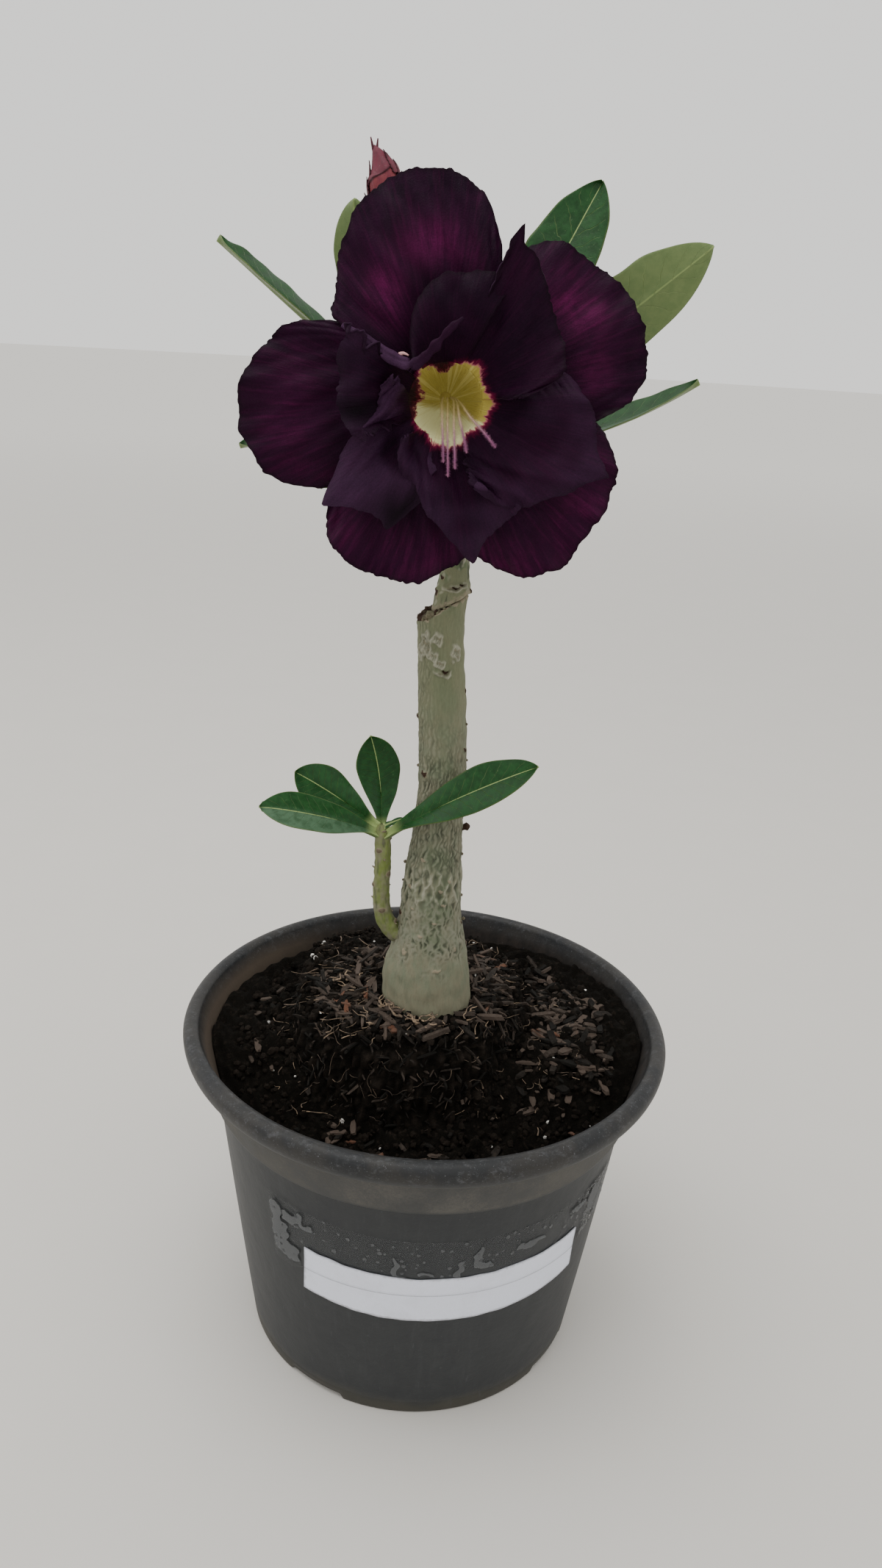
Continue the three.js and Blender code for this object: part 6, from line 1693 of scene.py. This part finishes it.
def make_stage(s):
    """A pale floor, pale surroundings, soft lights and the photograph's camera."""
    mesh = bpy.data.meshes.new("floor")
    mesh.from_pydata(polar(FLOOR_RADIUS, around(96), 0).tolist(), [], [list(range(96))])
    f = Finish("Pale studio floor")
    grain = f.noise(f.place(), 40, 3)
    near = f.blend(f.band(grain, 0.3, 0.7, 0, 0.06), s.floor, tint(190, 186, 180))
    # Far away the floor is as light as the surroundings, so that no line shows where it ends.
    away = f.node("VectorMath", {0: f.place()}, "Value", operation="LENGTH")
    mesh.materials.append(f.shade(f.blend(f.band(away, 500, 3500), near, tint(232, 230, 226)), 0.75))
    floor = add_object("floor", mesh)

    world = bpy.data.worlds.new("Pale room")
    world.use_nodes = True
    room = world.node_tree.nodes["Background"]
    room.inputs["Color"].default_value = ROOM["colour"]
    room.inputs["Strength"].default_value = ROOM["strength"]
    bpy.context.scene.world = world

    for name, place, target, size, power, warmth in LIGHTS:
        data = bpy.data.lights.new(name, "AREA")
        data.size, data.energy, data.color = size, power, warmth
        light = add_object(name, data)
        light.location = place
        light.rotation_euler = (Vector(target) - Vector(place)).to_track_quat("-Z", "Y").to_euler()

    data = bpy.data.cameras.new("camera")
    data.sensor_fit, data.sensor_height, data.lens = "VERTICAL", SENSOR, s.lens
    data.clip_start, data.clip_end = 0.01, 20
    camera = add_object("camera", data)
    pitch, yaw, roll = (math.radians(VIEWPOINT[k]) for k in ("pitch", "yaw", "roll"))
    ahead = Vector((math.sin(yaw) * math.cos(pitch), math.cos(yaw) * math.cos(pitch), -math.sin(pitch)))
    right = Vector((math.cos(yaw), -math.sin(yaw), 0))
    up = right.cross(ahead)
    turned = right * math.cos(roll) + up * math.sin(roll)
    upper = up * math.cos(roll) - right * math.sin(roll)
    camera.matrix_world = (Matrix.Translation(Vector(VIEWPOINT["place"]) * MM)
                           @ Matrix((turned, upper, -ahead)).transposed().to_4x4())
    bpy.context.scene.camera = camera


# ---------------------------------------------------------------- operators and panel

def build(group, *makers):
    """Calls the makers with the settings of their group."""
    for make in makers:
        make(settings(group))
    return {"FINISHED"}


class DESERT_ROSE_OT_stage(bpy.types.Operator):
    """Set up the floor, the lights and the camera"""
    bl_idname = "desert_rose.stage"
    bl_label = "Stage"

    def execute(self, context):
        return build("stage", make_stage)


class DESERT_ROSE_OT_pot(bpy.types.Operator):
    """Build the nursery pot"""
    bl_idname = "desert_rose.pot"
    bl_label = "Pot"

    def execute(self, context):
        return build("pot", make_pot)


class DESERT_ROSE_OT_label(bpy.types.Operator):
    """Build the bare paper label and the clear tape over it"""
    bl_idname = "desert_rose.label"
    bl_label = "Label and tape"

    def execute(self, context):
        return build("pot", make_label, make_tape)


class DESERT_ROSE_OT_soil(bpy.types.Operator):
    """Build the potting mix, the root ball and what lies on them"""
    bl_idname = "desert_rose.soil"
    bl_label = "Soil"

    def execute(self, context):
        return build("soil", make_mix, make_ball, make_litter)


class DESERT_ROSE_OT_stems(bpy.types.Operator):
    """Build the rootstock, the grafted scion with its callus, and the side shoot"""
    bl_idname = "desert_rose.stems"
    bl_label = "Stems"

    def execute(self, context):
        return build("stem", make_rootstock, make_scion, make_callus, make_shoot)


class DESERT_ROSE_OT_leaves(bpy.types.Operator):
    """Build the sixteen leaves"""
    bl_idname = "desert_rose.leaves"
    bl_label = "Leaves"

    def execute(self, context):
        return build("leaf", make_leaves)


class DESERT_ROSE_OT_corolla(bpy.types.Operator):
    """Build the outer and inner lobes of the double flower"""
    bl_idname = "desert_rose.corolla"
    bl_label = "Corolla"

    def execute(self, context):
        return build("flower", make_outer_corolla, make_inner_corolla)


class DESERT_ROSE_OT_throat(bpy.types.Operator):
    """Build the throat's lining and the hairy tails of the anthers"""
    bl_idname = "desert_rose.throat"
    bl_label = "Throat and tails"

    def execute(self, context):
        return build("flower", make_throat, make_tails)


class DESERT_ROSE_OT_calyx(bpy.types.Operator):
    """Build the flower's stalk and sepals, and the closed bud"""
    bl_idname = "desert_rose.calyx"
    bl_label = "Calyx and bud"

    def execute(self, context):
        return build("flower", make_calyx, make_bud)


OPERATORS = (
    DESERT_ROSE_OT_stage, DESERT_ROSE_OT_pot, DESERT_ROSE_OT_label, DESERT_ROSE_OT_soil, DESERT_ROSE_OT_stems,
    DESERT_ROSE_OT_leaves, DESERT_ROSE_OT_corolla, DESERT_ROSE_OT_throat, DESERT_ROSE_OT_calyx,
)
SETTINGS = {
    "pot": PotSettings, "soil": SoilSettings, "stem": StemSettings, "leaf": LeafSettings, "flower": FlowerSettings,
    "stage": StageSettings,
}


class DESERT_ROSE_PT_panel(bpy.types.Panel):
    """Lists the operators that build the desert rose"""
    bl_idname = "DESERT_ROSE_PT_panel"
    bl_label = "Desert rose"
    bl_space_type = "VIEW_3D"
    bl_region_type = "UI"
    bl_category = "Desert rose"

    def draw(self, context):
        for operator in OPERATORS:
            self.layout.operator(operator.bl_idname)


def register():
    for group, kind in SETTINGS.items():
        bpy.utils.register_class(kind)
        setattr(bpy.types.Scene, "desert_rose_" + group, bpy.props.PointerProperty(type=kind))
    for kind in (*OPERATORS, DESERT_ROSE_PT_panel):
        bpy.utils.register_class(kind)


def unregister():
    for kind in reversed((*OPERATORS, DESERT_ROSE_PT_panel)):
        bpy.utils.unregister_class(kind)
    for group, kind in SETTINGS.items():
        delattr(bpy.types.Scene, "desert_rose_" + group)
        bpy.utils.unregister_class(kind)


def main():
    register()
    for operator in OPERATORS:
        getattr(bpy.ops.desert_rose, operator.bl_idname.split(".")[1])()


if __name__ == "__main__":
    main()
